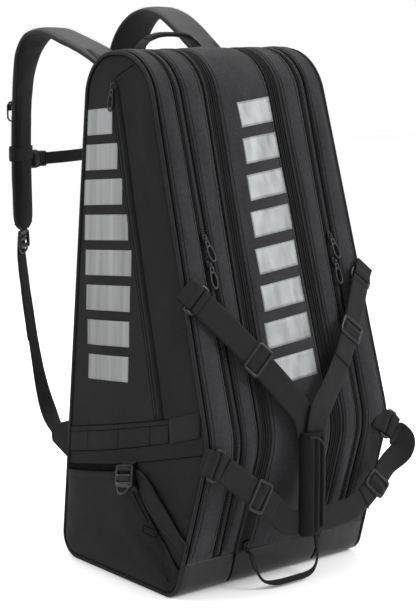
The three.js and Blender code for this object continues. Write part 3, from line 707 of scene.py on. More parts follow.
# ---------------------------------------------------------------- zips
def coil_parts(path, across, out, pitch, width, height):
    """Slanted, humped turns of nylon coil along a path, each a four-sided arch."""
    along = arc_lengths(path)
    marks = np.arange(pitch, along[-1] - pitch, pitch)
    at, a, o = (at_marks(marks, along, grid) for grid in (path, across, out))
    a, o = unit(a), unit(o)
    t = np.cross(o, a)
    stations = ((-1.0, 0.0, -0.9), (-0.6, 0.85, -0.45), (0, 1.0, 0.0), (0.6, 0.85, 0.45), (1.0, 0.0, 0.9))
    ring = ((0, 0.5), (0.29, 0), (0, -0.5), (-0.29, 0))
    points = np.zeros((len(marks), len(stations), 4, 3))
    for i, (side, rise, lead) in enumerate(stations):
        centre = at + a * (side * width / 2) + o * (rise * height) + t * (lead * pitch * 0.5)
        for k, (dt, do) in enumerate(ring):
            points[:, i, k] = centre + t * dt * pitch + o * do
    block = len(stations) * 4
    faces = []
    one = [list(f) for f in grid_faces(len(stations), 4, False, True)]
    one += [[0, 1, 2, 3], [block - 1, block - 2, block - 3, block - 4]]
    for n in range(len(marks)):
        faces += [[v + n * block for v in face] for face in one]
    return points.reshape(-1, 3), faces


def coil(name, path, across, out, pitch, width, height):
    points, faces = coil_parts(path, across, out, pitch, width, height)
    return mount(make_object(name, points, faces, COIL), "shell")


def main_zip(side, sign):
    middle = turned(((ZIP_OUTER[0] + ZIP_INNER[0]) / 2,) * 2, sign)
    inner, outer = turned(shifted(ZIP_INNER, -1.0), sign), turned(shifted(ZIP_OUTER, 1.0), sign)
    place = strip(inner, outer, 21)
    off = np.abs(place["x"] - middle[0])
    ridge = 0.35 * np.cos(off * 2 * math.pi / 2.4)
    height = -1.5 + ridge * smooth(2.5, 4, off) + 0.25 * waves(raised(place, 0), BROAD)
    shell_piece(side + "_main_zip", place, height, ZIP_TAPE, 0.9)
    # Near-black cords beside the tape: painted shade where the cloth folds under along the zip.
    for label, line in (("inner", ZIP_INNER), ("outer", ZIP_OUTER)):
        cord_on_shell(f"{side}_zip_fold_{label}", turned(line, sign), 1.1, -1.3)
    path, out = on_shell(middle, np.arange(BASE_FRONT + 4, TOP_SEAM - 4, 2.0), -1.2)
    coil(side + "_main_coil", path, crosswise(path), out, 3.5, 7.4, 2.1)


# ---------------------------------------------------------------- base and back
def base_trim():
    edge_line = shifted(EDGE, -SEAM_INSET)
    place = strip(mirrored(edge_line), edge_line, 91, BASE_BACK, BASE_FRONT)
    flat = raised(place, 0)
    under = smooth(-0.45, -0.95, place["nz"])
    crown = 1 - np.abs(2 * place["t"] - 1) ** 6
    height = 2.2 * crown * smooth(0, 22, place["end"]) * (1 - under)
    slack = waves(flat, BROAD) * 0.9 + waves(flat, FINE) * 0.25
    height = height + slack * (1 - under) * smooth(0, 8, place["end"])
    height = height + pucker(place["x"], place["end"], 17.0, 9.0) * 0.35 * (1 - under)
    deep = np.abs(np.abs(place["x"]) - on_line(DEEP_SEAM, place["z"]))
    height = height - 2.0 * np.exp(-deep / 2.6) * (1 - under)
    height = height - 1.2 * np.minimum(np.exp(-place["edge"] / 2.0), 1) * (1 - under)
    shell_piece("base_panel", place, np.where(under > 0.98, 0, height), TARPAULIN, 2.0)
    for sign in (-1, 1):
        seam_row(turned(shifted(EDGE, -8.5), sign), 1.2, OUT.length_at(12, -1), BASE_FRONT - 6)
    x = np.arange(-EDGE[0] + 10, EDGE[0] - 10, 4.0)
    y, z, ny, nz = OUT.at(BASE_FRONT - 5)
    front = np.stack([x, 0 * x + y + ny * 2.4, 0 * x + z + nz * 2.4], -1)
    THREADS["shell"].row(front, (0, ny, nz))


def padded_back():
    """The back rests on the wearer: two padded columns of air mesh with a channel between them."""
    edge_line = shifted(EDGE, -SEAM_INSET)
    place = strip(mirrored(edge_line), edge_line, 81, TOP_SEAM, BASE_BACK)
    column = smooth(14, 26, np.abs(place["x"])) * smooth(0, 22, place["edge"]) * smooth(0, 55, place["end"])
    from_top = place["s"] - TOP_SEAM
    quilt = 1 - 0.75 * np.exp(-((np.mod(from_top + 40, 170) - 85) / 5.0) ** 2)
    flat = raised(place, 0)
    height = 7.0 * column * quilt + waves(flat, FINE) * 0.35 * column + waves(flat, BROAD) * 0.6 * column
    height = height + pucker(place["s"], place["edge"]) * 0.4 - 1.5 * np.exp(-place["edge"] / 1.7)
    piece = shell_piece("back_panel", place, height, PAD_MESH, 5.0)
    for line in ((20.0, 20.0), shifted(EDGE, -10.0)):
        for sign in (-1, 1):
            seam_row(turned(line, sign), 0.9, TOP_SEAM + 12, BASE_BACK - 12)


# ---------------------------------------------------------------- the side panels
def side_lift(y, z):
    """How far the side panel stands out from its plane."""
    inside = OUT.depth_inside(y, z) - 2 * PIPING_RADIUS
    flat = np.stack([0 * y + 170, y, z], -1)
    slack = waves(flat, BROAD) * 1.6 + waves(flat, FINE) * 0.3
    within = np.maximum(inside, 0)
    crown, dip = 3.6 * (1 - np.exp(-within / 30)), 1.4 * np.exp(-within / 3.0)
    return crown + slack * smooth(2, 40, inside) - dip


def on_side(sign, y, z, lift):
    return np.stack([sign * (on_line(EDGE, z) + lift), y, z], -1)


def side_panel(side, sign):
    inset = 2 * PIPING_RADIUS - 1.0
    heights = 0.5 - 0.5 * np.cos(np.linspace(0.02, math.pi - 0.02, 150))
    low, high = inset, 780 - inset
    z = low + (high - low) * (0.7 * np.linspace(0, 1, 150) + 0.3 * heights)
    front = np.array([inside_crossing(h, -1, inset) for h in z])
    back = np.array([inside_crossing(h, 1, inset) for h in z])
    t = np.linspace(0, 1, 66)
    y = front[:, None] * (1 - t) + back[:, None] * t
    zz = z[:, None] + 0 * t
    lift = side_lift(y, zz)
    uv = np.stack([y, zz], -1)
    top, bottom = on_side(sign, y, zz, lift), on_side(sign, y, zz, lift - CLOTH)
    piece = slab(side + "_side_cloth", top, bottom, SIDE_CLOTH, uv)
    mount(piece, "shell", side + "_side_panel")


def inside_crossing(height, side, inset):
    """y where the outline, drawn in by an inset, passes a height."""
    table = OUT.table
    y, z = (table[:, 0] - table[:, 2] * inset), (table[:, 1] - table[:, 3] * inset)
    passes = np.nonzero((z[:-1] - height) * (z[1:] - height) <= 0)[0]
    found = [y[i] + (y[i + 1] - y[i]) * (height - z[i]) / (z[i + 1] - z[i] + 1e-12) for i in passes]
    return max(found) if side > 0 else min(found)


def polyline(points, count):
    """Evenly spaced points along a smooth curve through given points."""
    curve = curve_through(points, 24)
    along = arc_lengths(curve)
    marks = np.linspace(0, along[-1], count)
    return at_marks(marks, along, curve)


def patch(name, sign, lower, upper, cols, rows, lift, thick, look,
          node=None):
    """A sheet on the side panel between two curves of (y, z); lift gives its height above the panel."""
    low, high = polyline(lower, cols), polyline(upper, cols)
    q = np.linspace(0, 1, rows)[:, None, None]
    yz = low * (1 - q) + high * q
    y, z = yz[..., 0], yz[..., 1]
    p = np.linspace(0, 1, cols)[None, :] + 0 * y
    above = side_lift(y, z) + lift(p, q[..., 0] + 0 * y, y, z)
    uv = np.stack([z, y], -1) if cols > rows else np.stack([y, z], -1)
    piece = slab(name, on_side(sign, y, z, above), on_side(sign, y, z, above - thick), look, uv)
    return mount(piece, "shell", node)


def side_path(sign, points, count, lift, over_pocket=False):
    """A path over the side panel, or over the pocket on it, through points of (y, z)."""
    y, z = polyline(points, count).T
    above = side_lift(y, z) + (pocket_lift(y, z) if over_pocket else 0)
    return on_side(sign, y, z, above + lift)


def side_row(sign, points, lift, count=60, **sizes):
    """A row of stitches on the side, through points of (y, z)."""
    THREADS["shell"].row(side_path(sign, points, count, lift), (sign, 0, 0), **sizes)


# Unless another look is given, the tube is near black: painted shade along a seam or fold.
def side_tube(name, sign, points, lift, radius, look=PAINTED_SHADE, count=50):
    rod(name, side_path(sign, points, count, lift), round_section(radius, radius, 8), look)


BAND_TOP = ((138, 206), (15, 233), (-112, 264))
BAND_LOW = ((140, 166), (14, 195), (-112, 229))
BAND_SEAMS = (((139, 197), (15, 225), (-174, 272)), ((141, 147), (51, 164), (-40, 186), (-184, 225)))
WEB_TOP = ((-112, 264), (-145, 275), (-178, 286))
WEB_LOW = ((-118, 230), (-148, 240), (-180, 250))


def side_band(side, sign):
    """The sewn band that crosses the side above the pocket, with webbing over its front end."""
    crown = lambda p, q, y, z: 1.3 - 0.9 * np.abs(2 * q - 1) ** 8
    patch(side + "_side_band", sign, BAND_LOW, BAND_TOP, 90, 15, crown, 1.3, SIDE_CLOTH)
    over = lambda p, q, y, z: 2.4 - 0.9 * np.abs(2 * q - 1) ** 8 - 0.8 * np.abs(2 * p - 1) ** 12
    patch(side + "_band_webbing", sign, WEB_LOW, WEB_TOP, 40, 15, over, 1.6, BAND_WEB)
    # The band's seam and box lines are thin near-black tubes: painted shade along the seams.
    seams = (("top", BAND_TOP, 0.35), ("low", BAND_LOW, 0.35), ("upper", BAND_SEAMS[0], 1.0),
             ("mouth", BAND_SEAMS[1], 0.2))
    for label, line, lift in seams:
        side_tube(f"{side}_band_seam_{label}", sign, line, lift, 0.75, count=90)
    for k, y in enumerate((92, 12, -68)):
        z = 235 - 0.235 * y
        side_tube(f"{side}_band_box_{k + 1}", sign, ((y, z - 34), (y - 2, z - 5)), 1.0, 0.6, count=12)
    side_row(sign, [(y, z + 3.5) for y, z in WEB_LOW], 2.3)
    side_row(sign, [(y, z - 3.5) for y, z in WEB_TOP], 2.3)


def pocket_lift(y, z):
    """The shoe pocket stands clear of the side, and comes back to it at its sewn edges."""
    sewn_edge = np.maximum(OUT.depth_inside(y, z) - 7.0, 0)
    slope = np.maximum(y + 45 + 0.62 * (165 - np.minimum(z, 165)), 0) * 0.85
    return 10.5 * (1 - np.exp(-sewn_edge / 20)) * (1 - np.exp(-slope / 20))


POCKET_MOUTH = ((143, 138), (80, 149), (10, 163), (-36, 178))
POCKET_SLOPE = ((-41, 156), (-91, 93), (-138, 48))
TAPE_RUN = ((-40, 142), (-72, 105))
BOX_CORNERS = ((-66, 99), (-90, 94), (-88, 84), (-64, 89))


def stitched_box(side, sign):
    """Where the pocket's inner tape is sewn down: a run beside its front edge, then a small box."""
    sides = [TAPE_RUN] + [(BOX_CORNERS[k], BOX_CORNERS[(k + 1) % 4]) for k in range(4)]
    for count, line in enumerate(sides):
        path = side_path(sign, line, 24, 2.0, over_pocket=True)
        # A thin near-black cord under each row: painted shade in the stitch furrow.
        rod(f"{side}_pocket_tack_{count}", path, round_section(0.55, 0.55, 8), PAINTED_SHADE)
        THREADS["shell"].row(path + np.array((sign * 0.3, 0, 0)), (sign, 0, 0))


def shoe_pocket(side, sign):
    """The shoe pocket, its hem, a sheet of painted shade in its opening, and cords of painted shade in the
    folds its front edge pulls.
    """
    start, end = OUT.length_at(52, 1), OUT.length_at(46, -1) + OUT.length
    y, z, ny, nz = OUT.at(np.linspace(start, end, 34))
    lower = np.stack([y - ny * 7.2, z - nz * 7.2], -1)
    belly = lambda p, q, yy, zz: 1.6 + pocket_lift(yy, zz) + 0.5 * np.sin(q * 17 + p * 9) * q * (1 - q) * 4
    patch(side + "_pocket_cloth", sign, lower, POCKET_MOUTH + POCKET_SLOPE, 90, 44, belly, CLOTH, SIDE_CLOTH,
          node=side + "_shoe_pocket")
    mouth = lambda drop: [(yy, zz - drop) for yy, zz in POCKET_MOUTH]
    over = lambda p, q, yy, zz: 2.4 + pocket_lift(yy, zz) - 0.8 * np.abs(2 * q - 1) ** 6
    patch(side + "_pocket_hem", sign, mouth(13), mouth(0), 60, 9, over, 2.6, SIDE_CLOTH)
    for drop in (2.6, 10.6):
        THREADS["shell"].row(side_path(sign, mouth(drop), 60, 2.4, over_pocket=True), (sign, 0, 0))
    # The pocket's opening: a near-black sheet above the mouth, painted shade inside the open pocket.
    shade_top = ((141, 147), (51, 164), (0, 176), (-36, 185))
    flat = lambda p, q, yy, zz: 0.5 + 0 * p
    patch(side + "_pocket_gap_shade", sign, POCKET_MOUTH, shade_top, 50, 6, flat, 0.8, PAINTED_SHADE)
    edge = ((-41, 160), (-60, 128), (-91, 93), (-120, 68), (-138, 48))
    side_tube(side + "_pocket_edge", sign, edge, 3.4, 0.9)
    side_tube(side + "_pocket_dart", sign, ((-86, 72), (-104, 48), (-119, 26)), 4.6, 0.5, count=20)
    stitched_box(side, sign)
    for k in range(6):
        at = (138 - k * 1.6, 134)
        side_row(sign, [at, (at[0] - 3, 126)], 4.2, 4, pitch=1.2, length=3.4)


def wing(side, sign):
    """The tapered fabric wing that the pocket's lock pulls on."""
    upper = ((-38, 176), (-58, 174), (-76, 164), (-101, 141), (-129, 115), (-158, 90))
    lower = ((-38, 160), (-48, 146), (-60, 132), (-84, 110), (-118, 91), (-156, 75))
    shape = lambda p, q, y, z: 3.2 + 4.5 * np.sin(p * math.pi) ** 0.8 * (0.35 + 0.65 * q)
    patch(side + "_pocket_wing", sign, lower, upper, 60, 17, shape, CLOTH, SIDE_CLOTH)
    side_tube(side + "_wing_binding", sign, upper, 6.2, 1.2, BINDING)
    side_row(sign, [(y - 3, z - 5) for y, z in upper], 7.2)
    side_row(sign, [(y - 4, z + 5) for y, z in lower], 5.2)
    box = ((-72, 106), (-57, 67), (-85, 74), (-90, 86))
    for start, end in zip(box, box[1:]):
        side_row(sign, (start, end), 4.6 + pocket_lift(*np.array(start)) * 0.5, 16)


def pocket_zip(side, sign):
    """A long zip behind two folded lips."""
    top, end = np.array((31.0, 728.0)), np.array((-88.0, 260.0))
    run = unit(top - end)
    cross = np.array((run[1], -run[0]))
    middle = (end + top) / 2
    roll = lambda p, q, y, z: 0.5 + 2.6 * np.sin(np.minimum(q * 1.9, 1.0) * math.pi * 0.5) * (1 - q ** 2.2)
    for edge, label in ((-1, "front"), (1, "back")):
        near, far = end + cross * edge * 0.3, top + cross * edge * 0.3 + run * 8
        wide, seam = cross * edge * 8.0, cross * edge * 5.5
        inner = (near, (near + far) / 2, far)
        outer = [point + wide for point in inner]
        patch(f"{side}_zip_lip_{label}", sign, inner, outer, 90, 11, roll, 1.2, SIDE_CLOTH)
        side_row(sign, [end + seam, middle + seam, top + seam], 1.6, 120)
    path = side_path(sign, (end, middle, top), 220, 0.2)
    across, out = crosswise(path, (0, *cross)), crosswise(path, (sign, 0.0, 0.0))
    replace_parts(coil(side + "_pocket_coil", path, across, out, 1.4, 3.6, 0.8), side + "_pocket_zip")
    # Near-black tubes along the dart and the lips' seams: painted shade in the folds.
    side_tube(side + "_zip_dart", sign, ((28, 742), (6, 753), (-22, 765)), 0.1, 0.7, count=20)
    for edge, label, drop in ((-1, "front", 11.0), (1, "back", 9.5)):
        line = [point + cross * edge * drop for point in (end - run * 2, middle, top)]
        side_tube(f"{side}_zip_seam_{label}", sign, line, 0.1, 0.7, count=120)


# ---------------------------------------------------------------- moulded fittings
def plate_frame(node, outward, upward):
    """Centre and the wide, long and thin directions of a flat CAD piece, signed by two hints."""
    points = np.unique(np.round(np.array([v.co for v in frame["nodes"][node].data.vertices]) / MM, 3), axis=0)
    axes = np.linalg.svd(points - points.mean(0))[2]
    spans = points @ axes.T
    centre = (spans.max(0) + spans.min(0)) / 2 @ axes
    thin = axes[2] * np.sign(axes[2] @ np.array(outward, float))
    along = max(axes[:2], key=lambda a: abs(a @ np.array(upward, float)))
    along = along * np.sign(along @ np.array(upward, float))
    return centre, np.cross(along, thin), along, thin


def in_place(local, place):
    centre, wide, along, thin = place
    local = np.asarray(local, float)
    return centre + local[..., 0:1] * wide + local[..., 1:2] * along + local[..., 2:3] * thin


def loop_shape(width, length, bar, thick, corner=4.0):
    """A rounded rectangular loop of squarish bar, in its own frame."""
    w, l = (width - bar) / 2, (length - bar) / 2
    path = []
    for cx, cy, start in ((w - corner, l - corner, 0), (-w + corner, l - corner, 90),
                          (-w + corner, -l + corner, 180), (w - corner, -l + corner, 270)):
        for k in range(6):
            angle = math.radians(start + 18 * k)
            path.append((cx + corner * math.cos(angle), cy + corner * math.sin(angle), 0))
    path = np.array(path)
    rings = swept(path, crosswise(path, (0, 0, 1.0)), round_section(thick / 2, bar / 2, 12, 0.6), True)
    return tube_parts(rings, True)


def bar_shape(points, bar, thick, power=0.6):
    """A straight or bent bar through local points."""
    path = polyline(points, max(3, 6 * (len(points) - 1)))
    rings = swept(path, crosswise(path, (0, 0.02, 1.0)), round_section(thick / 2, bar / 2, 12, power))
    return tube_parts(rings, False)


def bars(width, thick, *runs, power=0.6):
    """Several bars of one size, each through its own local points."""
    return [bar_shape(points, width, thick, power) for points in runs]


def pad_shape(width, length, thick, at=(0, 0, 0), power=0.45, taper=1.0):
    """A pillow-edged block: stacked rounded sections."""
    levels = ((-1, 0.82), (-0.8, 0.96), (-0.4, 1.0), (0.4, 1.0), (0.8, 0.96), (1, 0.82))
    rings = []
    for up, size in levels:
        ring = round_section(width / 2 * size, length / 2 * size, 20, power)
        squeeze = 1 + (taper - 1) * (0.5 - ring[:, 1:2] / length)
        level = np.full((len(ring), 1), up * thick / 2)
        rings.append(np.concatenate([ring[:, :1] * squeeze, ring[:, 1:2], level], 1))
    return tube_parts(np.array(rings) + np.array(at, float), False)


def fitting(name, place, shapes, look, body, node=None):
    """Joins local shapes into one moulded piece that stands for a CAD node."""
    points, faces, count = [], [], 0
    for shape_points, shape_faces in shapes:
        shape_faces = shape_faces.tolist() if isinstance(shape_faces, np.ndarray) else shape_faces
        points.append(in_place(shape_points, place))
        faces += [[v + count for v in face] for face in shape_faces]
        count += len(shape_points)
    return mount(make_object(name, np.concatenate(points), faces, look), body, node)


def adjuster(name, place, body):
    """A strap adjuster: an open frame, webbing humped over its middle bar, and near-black sheets of painted
    shade behind the gaps beside it.
    """
    ribs = [((x, 11.0, 2.0), (x, 13.6, 2.0)) for x in range(-18, 19, 4)]
    shapes = [loop_shape(48, 30, 5.2, 3.8)]
    shapes += bars(4.4, 3.0, ((-22, 0, 0.0), (22, 0, 0.0))) + bars(1.3, 0.9, *ribs)
    fitting(name + "_glide", place, shapes, PLASTIC, body, name + "_adjuster")
    # Dark sheets behind the frame's openings: painted shade seen through them.
    slot_shade = [pad_shape(38.6, 5.6, 1.2, (0, y, -2.3), 0.3) for y in (-8.2, 8.2)]
    fitting(name + "_glide_slots", place, slot_shade, PAINTED_SHADE, body, None)
    over = ((0, -5.6, -2.6), (0, -3.6, 0.6), (0, 0, 2.2), (0, 3.6, 0.6), (0, 5.6, -2.6))
    path = in_place(curve_through(over, 5), place)
    mount(tab(name + "_glide_hump", path, place[1], 37, 1.5, WEB, place[3]), body)


def lock_shapes(width, length):
    """A three-bar lock: side cheeks, three broad cross bars and a thumb loop at its foot."""
    half, reach = length / 2, width / 2 - 4
    shapes = [loop_shape(width, length, 4.6, 5.0, 3.5)]
    for y, lift in ((half * 0.66, 0.6), (0, 1.3), (-half * 0.66, 0.8)):
        shapes.append(bar_shape(((-reach, y, lift), (reach, y, lift)), length * 0.17, 3.6, 0.45))
    foot = ((-14, -half + 2, 1.0), (-12, -half - 4, 2.6), (0, -half - 9.0, 4.0),
            (12, -half - 4, 2.6), (14, -half + 2, 1.0))
    shapes.append(bar_shape(foot, 3.4, 2.8))
    return shapes


# ---------------------------------------------------------------- carry webbing
FRONT_OUT = (0, -1.0, 0.25)
ARMS = {
    "upper_left": (
        (-150.2, -155, 431, 0.72, 0, 0.69), (-115, -171, 393, 0.72, 0, 0.69),
        (-77, -186.5, 349, 0.72, 0, 0.69),
        (-38, -203, 301, 0.75, 0, 0.66), (-13, -214, 266, 0.95, 0, 0.3), (-6, -216.5, 236, 1, 0, 0),
    ),
    "upper_right": (
        (152.4, -155, 430, 0.79, 0, -0.61), (135, -165, 402, 0.8, 0, -0.6), (113, -177, 369, 0.8, 0, -0.6),
        (78, -195, 325, 0.75, 0, -0.66), (40, -211, 290, 0.8, 0, -0.6), (14, -220.5, 266, 0.95, 0, -0.25),
        (6, -222.5, 236, 1, 0, 0),
    ),
    "lower_left": (
        (-155, -207.5, 206.5, 0.42, 0, 0.91), (-128, -210, 185, 0.5, 0, 0.87), (-94, -212, 158, 0.5, 0, 0.87),
        (-64, -214, 133, 0.5, 0, 0.87), (-46, -216, 113, 0.3, 0, 0.95), (-22, -218, 106, 0, 0, 1),
    ),
    "lower_right": (
        (176, -212, 210, 0.75, -0.3, -0.59), (187, -218, 197, 0.75, -0.55, -0.3),
        (186, -217, 181, 0.75, -0.4, -0.5), (163, -212.5, 163, 0.74, -0.05, -0.67),
        (137, -212, 137, 0.74, 0, -0.67), (110, -212.5, 117, 0.65, 0, -0.76), (86, -215, 108, 0.3, 0, -0.95),
        (54, -217, 105, 0.1, 0, -1), (21, -219, 105, 0, 0, -1),
    ),
}


def webbing_frames(route, per_span):
    curve = curve_through(route, per_span)
    path, across = curve[:, :3], curve[:, 3:6]
    tangent = unit(np.gradient(path, axis=0))
    side = unit(across - (across * tangent).sum(-1, keepdims=True) * tangent)
    return path, side, np.cross(tangent, side)


def strap(name, path, side, out, width, thick, look, lift=0.0):
    """Flat webbing with rounded selvedges along a framed path; lift moves it along `out`."""
    a = squared_off(np.linspace(-1, 1, STRAP_COLUMNS), 0.75)
    body = thick / 2 * (1 - np.abs(a) ** 10 * 0.75)
    width = np.broadcast_to(np.asarray(width, float), len(path))
    middle = path[:, None] + side[:, None] * (a[None, :] * width[:, None] / 2)[..., None]
    lift = np.broadcast_to(np.asarray(lift, float), len(path))
    sway = waves(middle, FINE) * 0.35 + lift[:, None]
    middle = middle + out[:, None] * sway[..., None]
    top = middle + out[:, None] * body[None, :, None]
    bottom = middle - out[:, None] * body[None, :, None]
    v, u = np.meshgrid(arc_lengths(path), a * width.max() / 2, indexing="ij")
    return slab(name, top, bottom, look, np.stack([u, v], -1))


def tab(name, path, wide, width, thick, look, facing=None):
    """Webbing along a path with its width all along one direction, its outer face towards another."""
    across = crosswise(path, wide)
    out = unit(np.cross(np.gradient(path, axis=0), across))
    if facing is not None:
        out = out * np.sign(out[len(out) // 2] @ facing)
    return strap(name, path, across, out, width, thick, look)


def wrap_route(reach, sign):
    """Webbing that goes out to a bar and back round it, as (along, out) steps."""
    out_to_bar = ((-reach, 1.3), (-13, 1.7), (-9.0, 3.2), (-6.0, 3.9), (-1.9, 2.6))
    steps = out_to_bar + ((-0.9, 0),) + tuple((a, -o) for a, o in out_to_bar[::-1])
    return [(sign * a, o) for a, o in steps]


def wrapped(name, node, hint, reach, body, sign, held_by=None):
    """A doubled tab of webbing round one bar of a ring; when held_by is given, it rides on no body and is
    baked where it stands.
    """
    centre, wide, along, thin = plate_frame(node, FRONT_OUT, hint)
    curve = curve_through([(a, o, 0) for a, o in wrap_route(reach, sign)], 5)
    path = centre + curve[:, :1] * along + curve[:, 1:2] * thin
    piece = tab(name, path, wide, WEBBING - 0.5, 1.7, WEB)
    if held_by is None:
        mount(piece, body)
        return
    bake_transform(piece)


def carry_arm(name, route):
    """One arm: its webbing, the doubled run behind the adjuster, the adjuster, the ring and both wraps."""
    body = name + "_arm"
    path, side, out = webbing_frames(route, 12)
    out = out * -np.sign(out[:, 1:2].mean())
    web = strap(name + "_web", path, side, out, WEBBING, WEBBING_THICK, WEB)
    mount(web, body, name + "_webbing")
    glide = plate_frame(name + "_adjuster", FRONT_OUT, path[-1] - path[0])
    travel = np.linalg.norm(path - (glide[0] - glide[3] * 3.7), axis=1)
    at_glide = int(np.argmin(travel))
    stop = min(at_glide + 12, len(path))
    from_glide = (arc_lengths(path) - arc_lengths(path)[at_glide])[:stop]
    rise = 2.1 + 5.0 * np.exp(-((from_glide / 5.5) ** 2)) - 0.4 * smooth(6, 16, from_glide)
    double = strap(name + "_web_double", path[:stop], side[:stop], out[:stop], WEBBING - 0.6, 1.8, WEB, rise)
    mount(double, body)
    adjuster(name, glide, body)
    ring_name = name + "_ring"
    ring = plate_frame(ring_name, FRONT_OUT, path[0] - plate_frame(ring_name, FRONT_OUT, (0, 0, 1))[0])
    fitting(name + "_loop", ring, [loop_shape(48, 18, 4.6, 4.2, 3.6)], PLASTIC, body, ring_name)
    wrapped(name + "_end_wrap", ring_name, ring[2], 16, body, -1)
    wrapped(name + "_anchor_tab", ring_name, ring[2], 25, body, 1, "shell")


# ---------------------------------------------------------------- the padded carry grip
def grip_face(x, z, low_z, high_z):
    """The sewn channels and the folded lip down the front of the grip, fading at its ends."""
    up = smooth(low_z, low_z + 16, z) * smooth(high_z, high_z - 16, z)
    channel = np.exp(-((x + 1.5) / 1.9) ** 2) + np.exp(-((x - 10.5) / 1.9) ** 2)
    lip = np.exp(-((x - 17) / 3.6) ** 2)
    return channel * up, lip * up


def carry_grip():
    low, high = (np.array(corner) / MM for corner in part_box("carry_grip"))
    middle, half_depth = (low[1] + high[1]) / 2, (high[1] - low[1]) / 2
    c, s = circle(84)
    x = 23.5 * squared_off(c, 0.85)
    rings = []
    for level in np.linspace(low[2], high[2], 64):
        channel, lip = grip_face(x, level + 0 * x, low[2], high[2])
        near_end = 1 - 0.14 * (np.exp(-(level - low[2]) / 6) + np.exp(-(high[2] - level) / 6))
        waist = 1 - 0.05 * math.sin((level - low[2]) / (high[2] - low[2]) * math.pi)
        crease = 0.7 * waves(np.stack([x, 0 * x, 0 * x + level], -1), FINE)
        depth = half_depth * np.abs(s) ** 0.85 * near_end
        y = np.where(s < 0, middle - depth + channel * 5.0 - lip * 1.5 + crease, middle + depth * 0.9)
        rings.append(np.stack([x * near_end * waist, y, 0 * x + level], -1))
    piece = tube("carry_grip_wrap", np.array(rings), GRIP_CLOTH, pitch=2.4)
    settle(piece, 1.4)
    mount(piece, "carry_grip", "carry_grip")
    front = np.array((0, low[1], 0))
    lip = ((-13, 1.4, high[2] - 6), (2, 0.4, high[2] - 9), (14, 1.8, high[2] - 20), (18.5, 4.0, high[2] - 42),
           (18.5, 4.4, low[2] + 36), (15, 3.4, low[2] + 12), (6, 2.0, low[2] + 5))
    lip_path = polyline(front + np.array(lip), 80)
    section = round_section(2.0, 2.0, 10)
    across = crosswise(lip_path, (0, 1.0, 0))
    rod("carry_grip_lip", lip_path, section, BINDING, "carry_grip", across)
    inner = lip_path + np.array((-4.6, -0.9, 0)) * smooth(0, 30, arc_lengths(lip_path))[:, None]
    THREADS["carry_grip"].row(inner[12:-8], (0, -1, 0))
    left = [front + np.array((-20, 6.5, level)) for level in (low[2] + 14, high[2] - 14)]
    THREADS["carry_grip"].row(left, (-0.6, -0.8, 0))


CLOTH_SETTINGS = {"quality": 5, "mass": 0.3, "tension_stiffness": 25, "compression_stiffness": 25,
                  "bending_stiffness": 0.6, "use_pressure": True}
# The furthest that the simulation may move a vertex, in millimetres.
MOST_SETTLED = 2.4
SETTLE_FRAMES = 12


def settle(piece, strength):
    """Inflates a padded piece a little with a cloth simulation, held near its modelled shape."""
    rest = np.array([v.co for v in piece.data.vertices])
    cloth = piece.modifiers.new("pressure", "CLOTH")
    for setting, value in CLOTH_SETTINGS.items():
        setattr(cloth.settings, setting, value)
    cloth.settings.uniform_pressure_force = strength
    cloth.settings.effector_weights.gravity = 0
    cloth.collision_settings.use_collision = False
    scene = bpy.context.scene
    for step in range(1, SETTLE_FRAMES + 1):
        scene.frame_set(step)
    graph = bpy.context.evaluated_depsgraph_get()
    moved = np.array([v.co for v in piece.evaluated_get(graph).data.vertices])
    scene.frame_set(1)
    piece.modifiers.clear()
    shift = moved - rest
    size = np.linalg.norm(shift, axis=1, keepdims=True)
    shift = shift * np.minimum(1, MOST_SETTLED * MM / np.maximum(size, 1e-9))
    piece.data.vertices.foreach_set("co", (rest + shift).astype(np.float32).ravel())
    piece.data.update()


# ---------------------------------------------------------------- shoulder harness
PAD_ROUTES = {
    "left": (
        (-100, 110, 745, 1, 0, 0), (-100, 131, 760, 1, 0, 0),
        (-100, 164, 774, 1, 0, 0), (-100, 222, 791, 1, 0, 0),
        (-100, 280, 804, 1, 0.05, 0), (-100, 322, 798, 0.98, 0.15, 0), (-100, 352, 772, 0.94, 0.3, 0),
        (-100, 368, 734, 0.89, 0.45, 0), (-100, 376, 690, 0.86, 0.5, 0), (-100, 380, 620, 0.86, 0.5, 0),
        (-100, 380, 550, 0.86, 0.5, 0), (-100, 378, 484, 0.86, 0.5, 0),
    ),
    "right": (
        (100, 110, 745, 1, 0, 0), (100, 132, 766, 1, 0, 0),
        (100, 164, 788, 1, 0, 0), (101, 205, 814, 1, 0, 0),
        (102, 242, 831, 1, 0, 0), (103, 285, 836, 1, -0.05, 0), (104, 325, 820, 0.98, -0.15, 0),
        (104, 354, 788, 0.94, -0.3, 0), (103, 370, 742, 0.89, -0.45, 0), (101, 378, 680, 0.86, -0.5, 0),
        (100, 380, 620, 0.86, -0.5, 0), (100, 380, 550, 0.86, -0.5, 0), (100, 378, 484, 0.86, -0.5, 0),
    ),
}
TAIL = (
    (101, 381.5, 470, -0.86, 0.5, 0), (103, 380, 446, -0.86, 0.5, 0), (115, 353, 398, -0.87, 0.49, 0.05),
    (130, 317, 345, -0.88, 0.46, 0.1), (143, 280, 285, -0.88, 0.42, 0.2), (153, 247, 238, -0.86, 0.3, 0.4),
    (161, 212, 202, -0.6, 0.1, 0.8), (167, 178, 186, -0.15, 0.05, 0.98), (171, 152, 180, 0, 0, 1),
)
PAD_HALF = 30.0
PAD_SPAN_STEPS = 16
# Beyond this y a pad's path hangs behind the bag.
BEHIND_BAG = 330


def nearest_height(path, height):
    """Step of a pad's path behind the bag that lies nearest a height."""
    return int(np.argmin(np.abs(path[:, 2] - height) + 1000 * (path[:, 1] < BEHIND_BAG)))


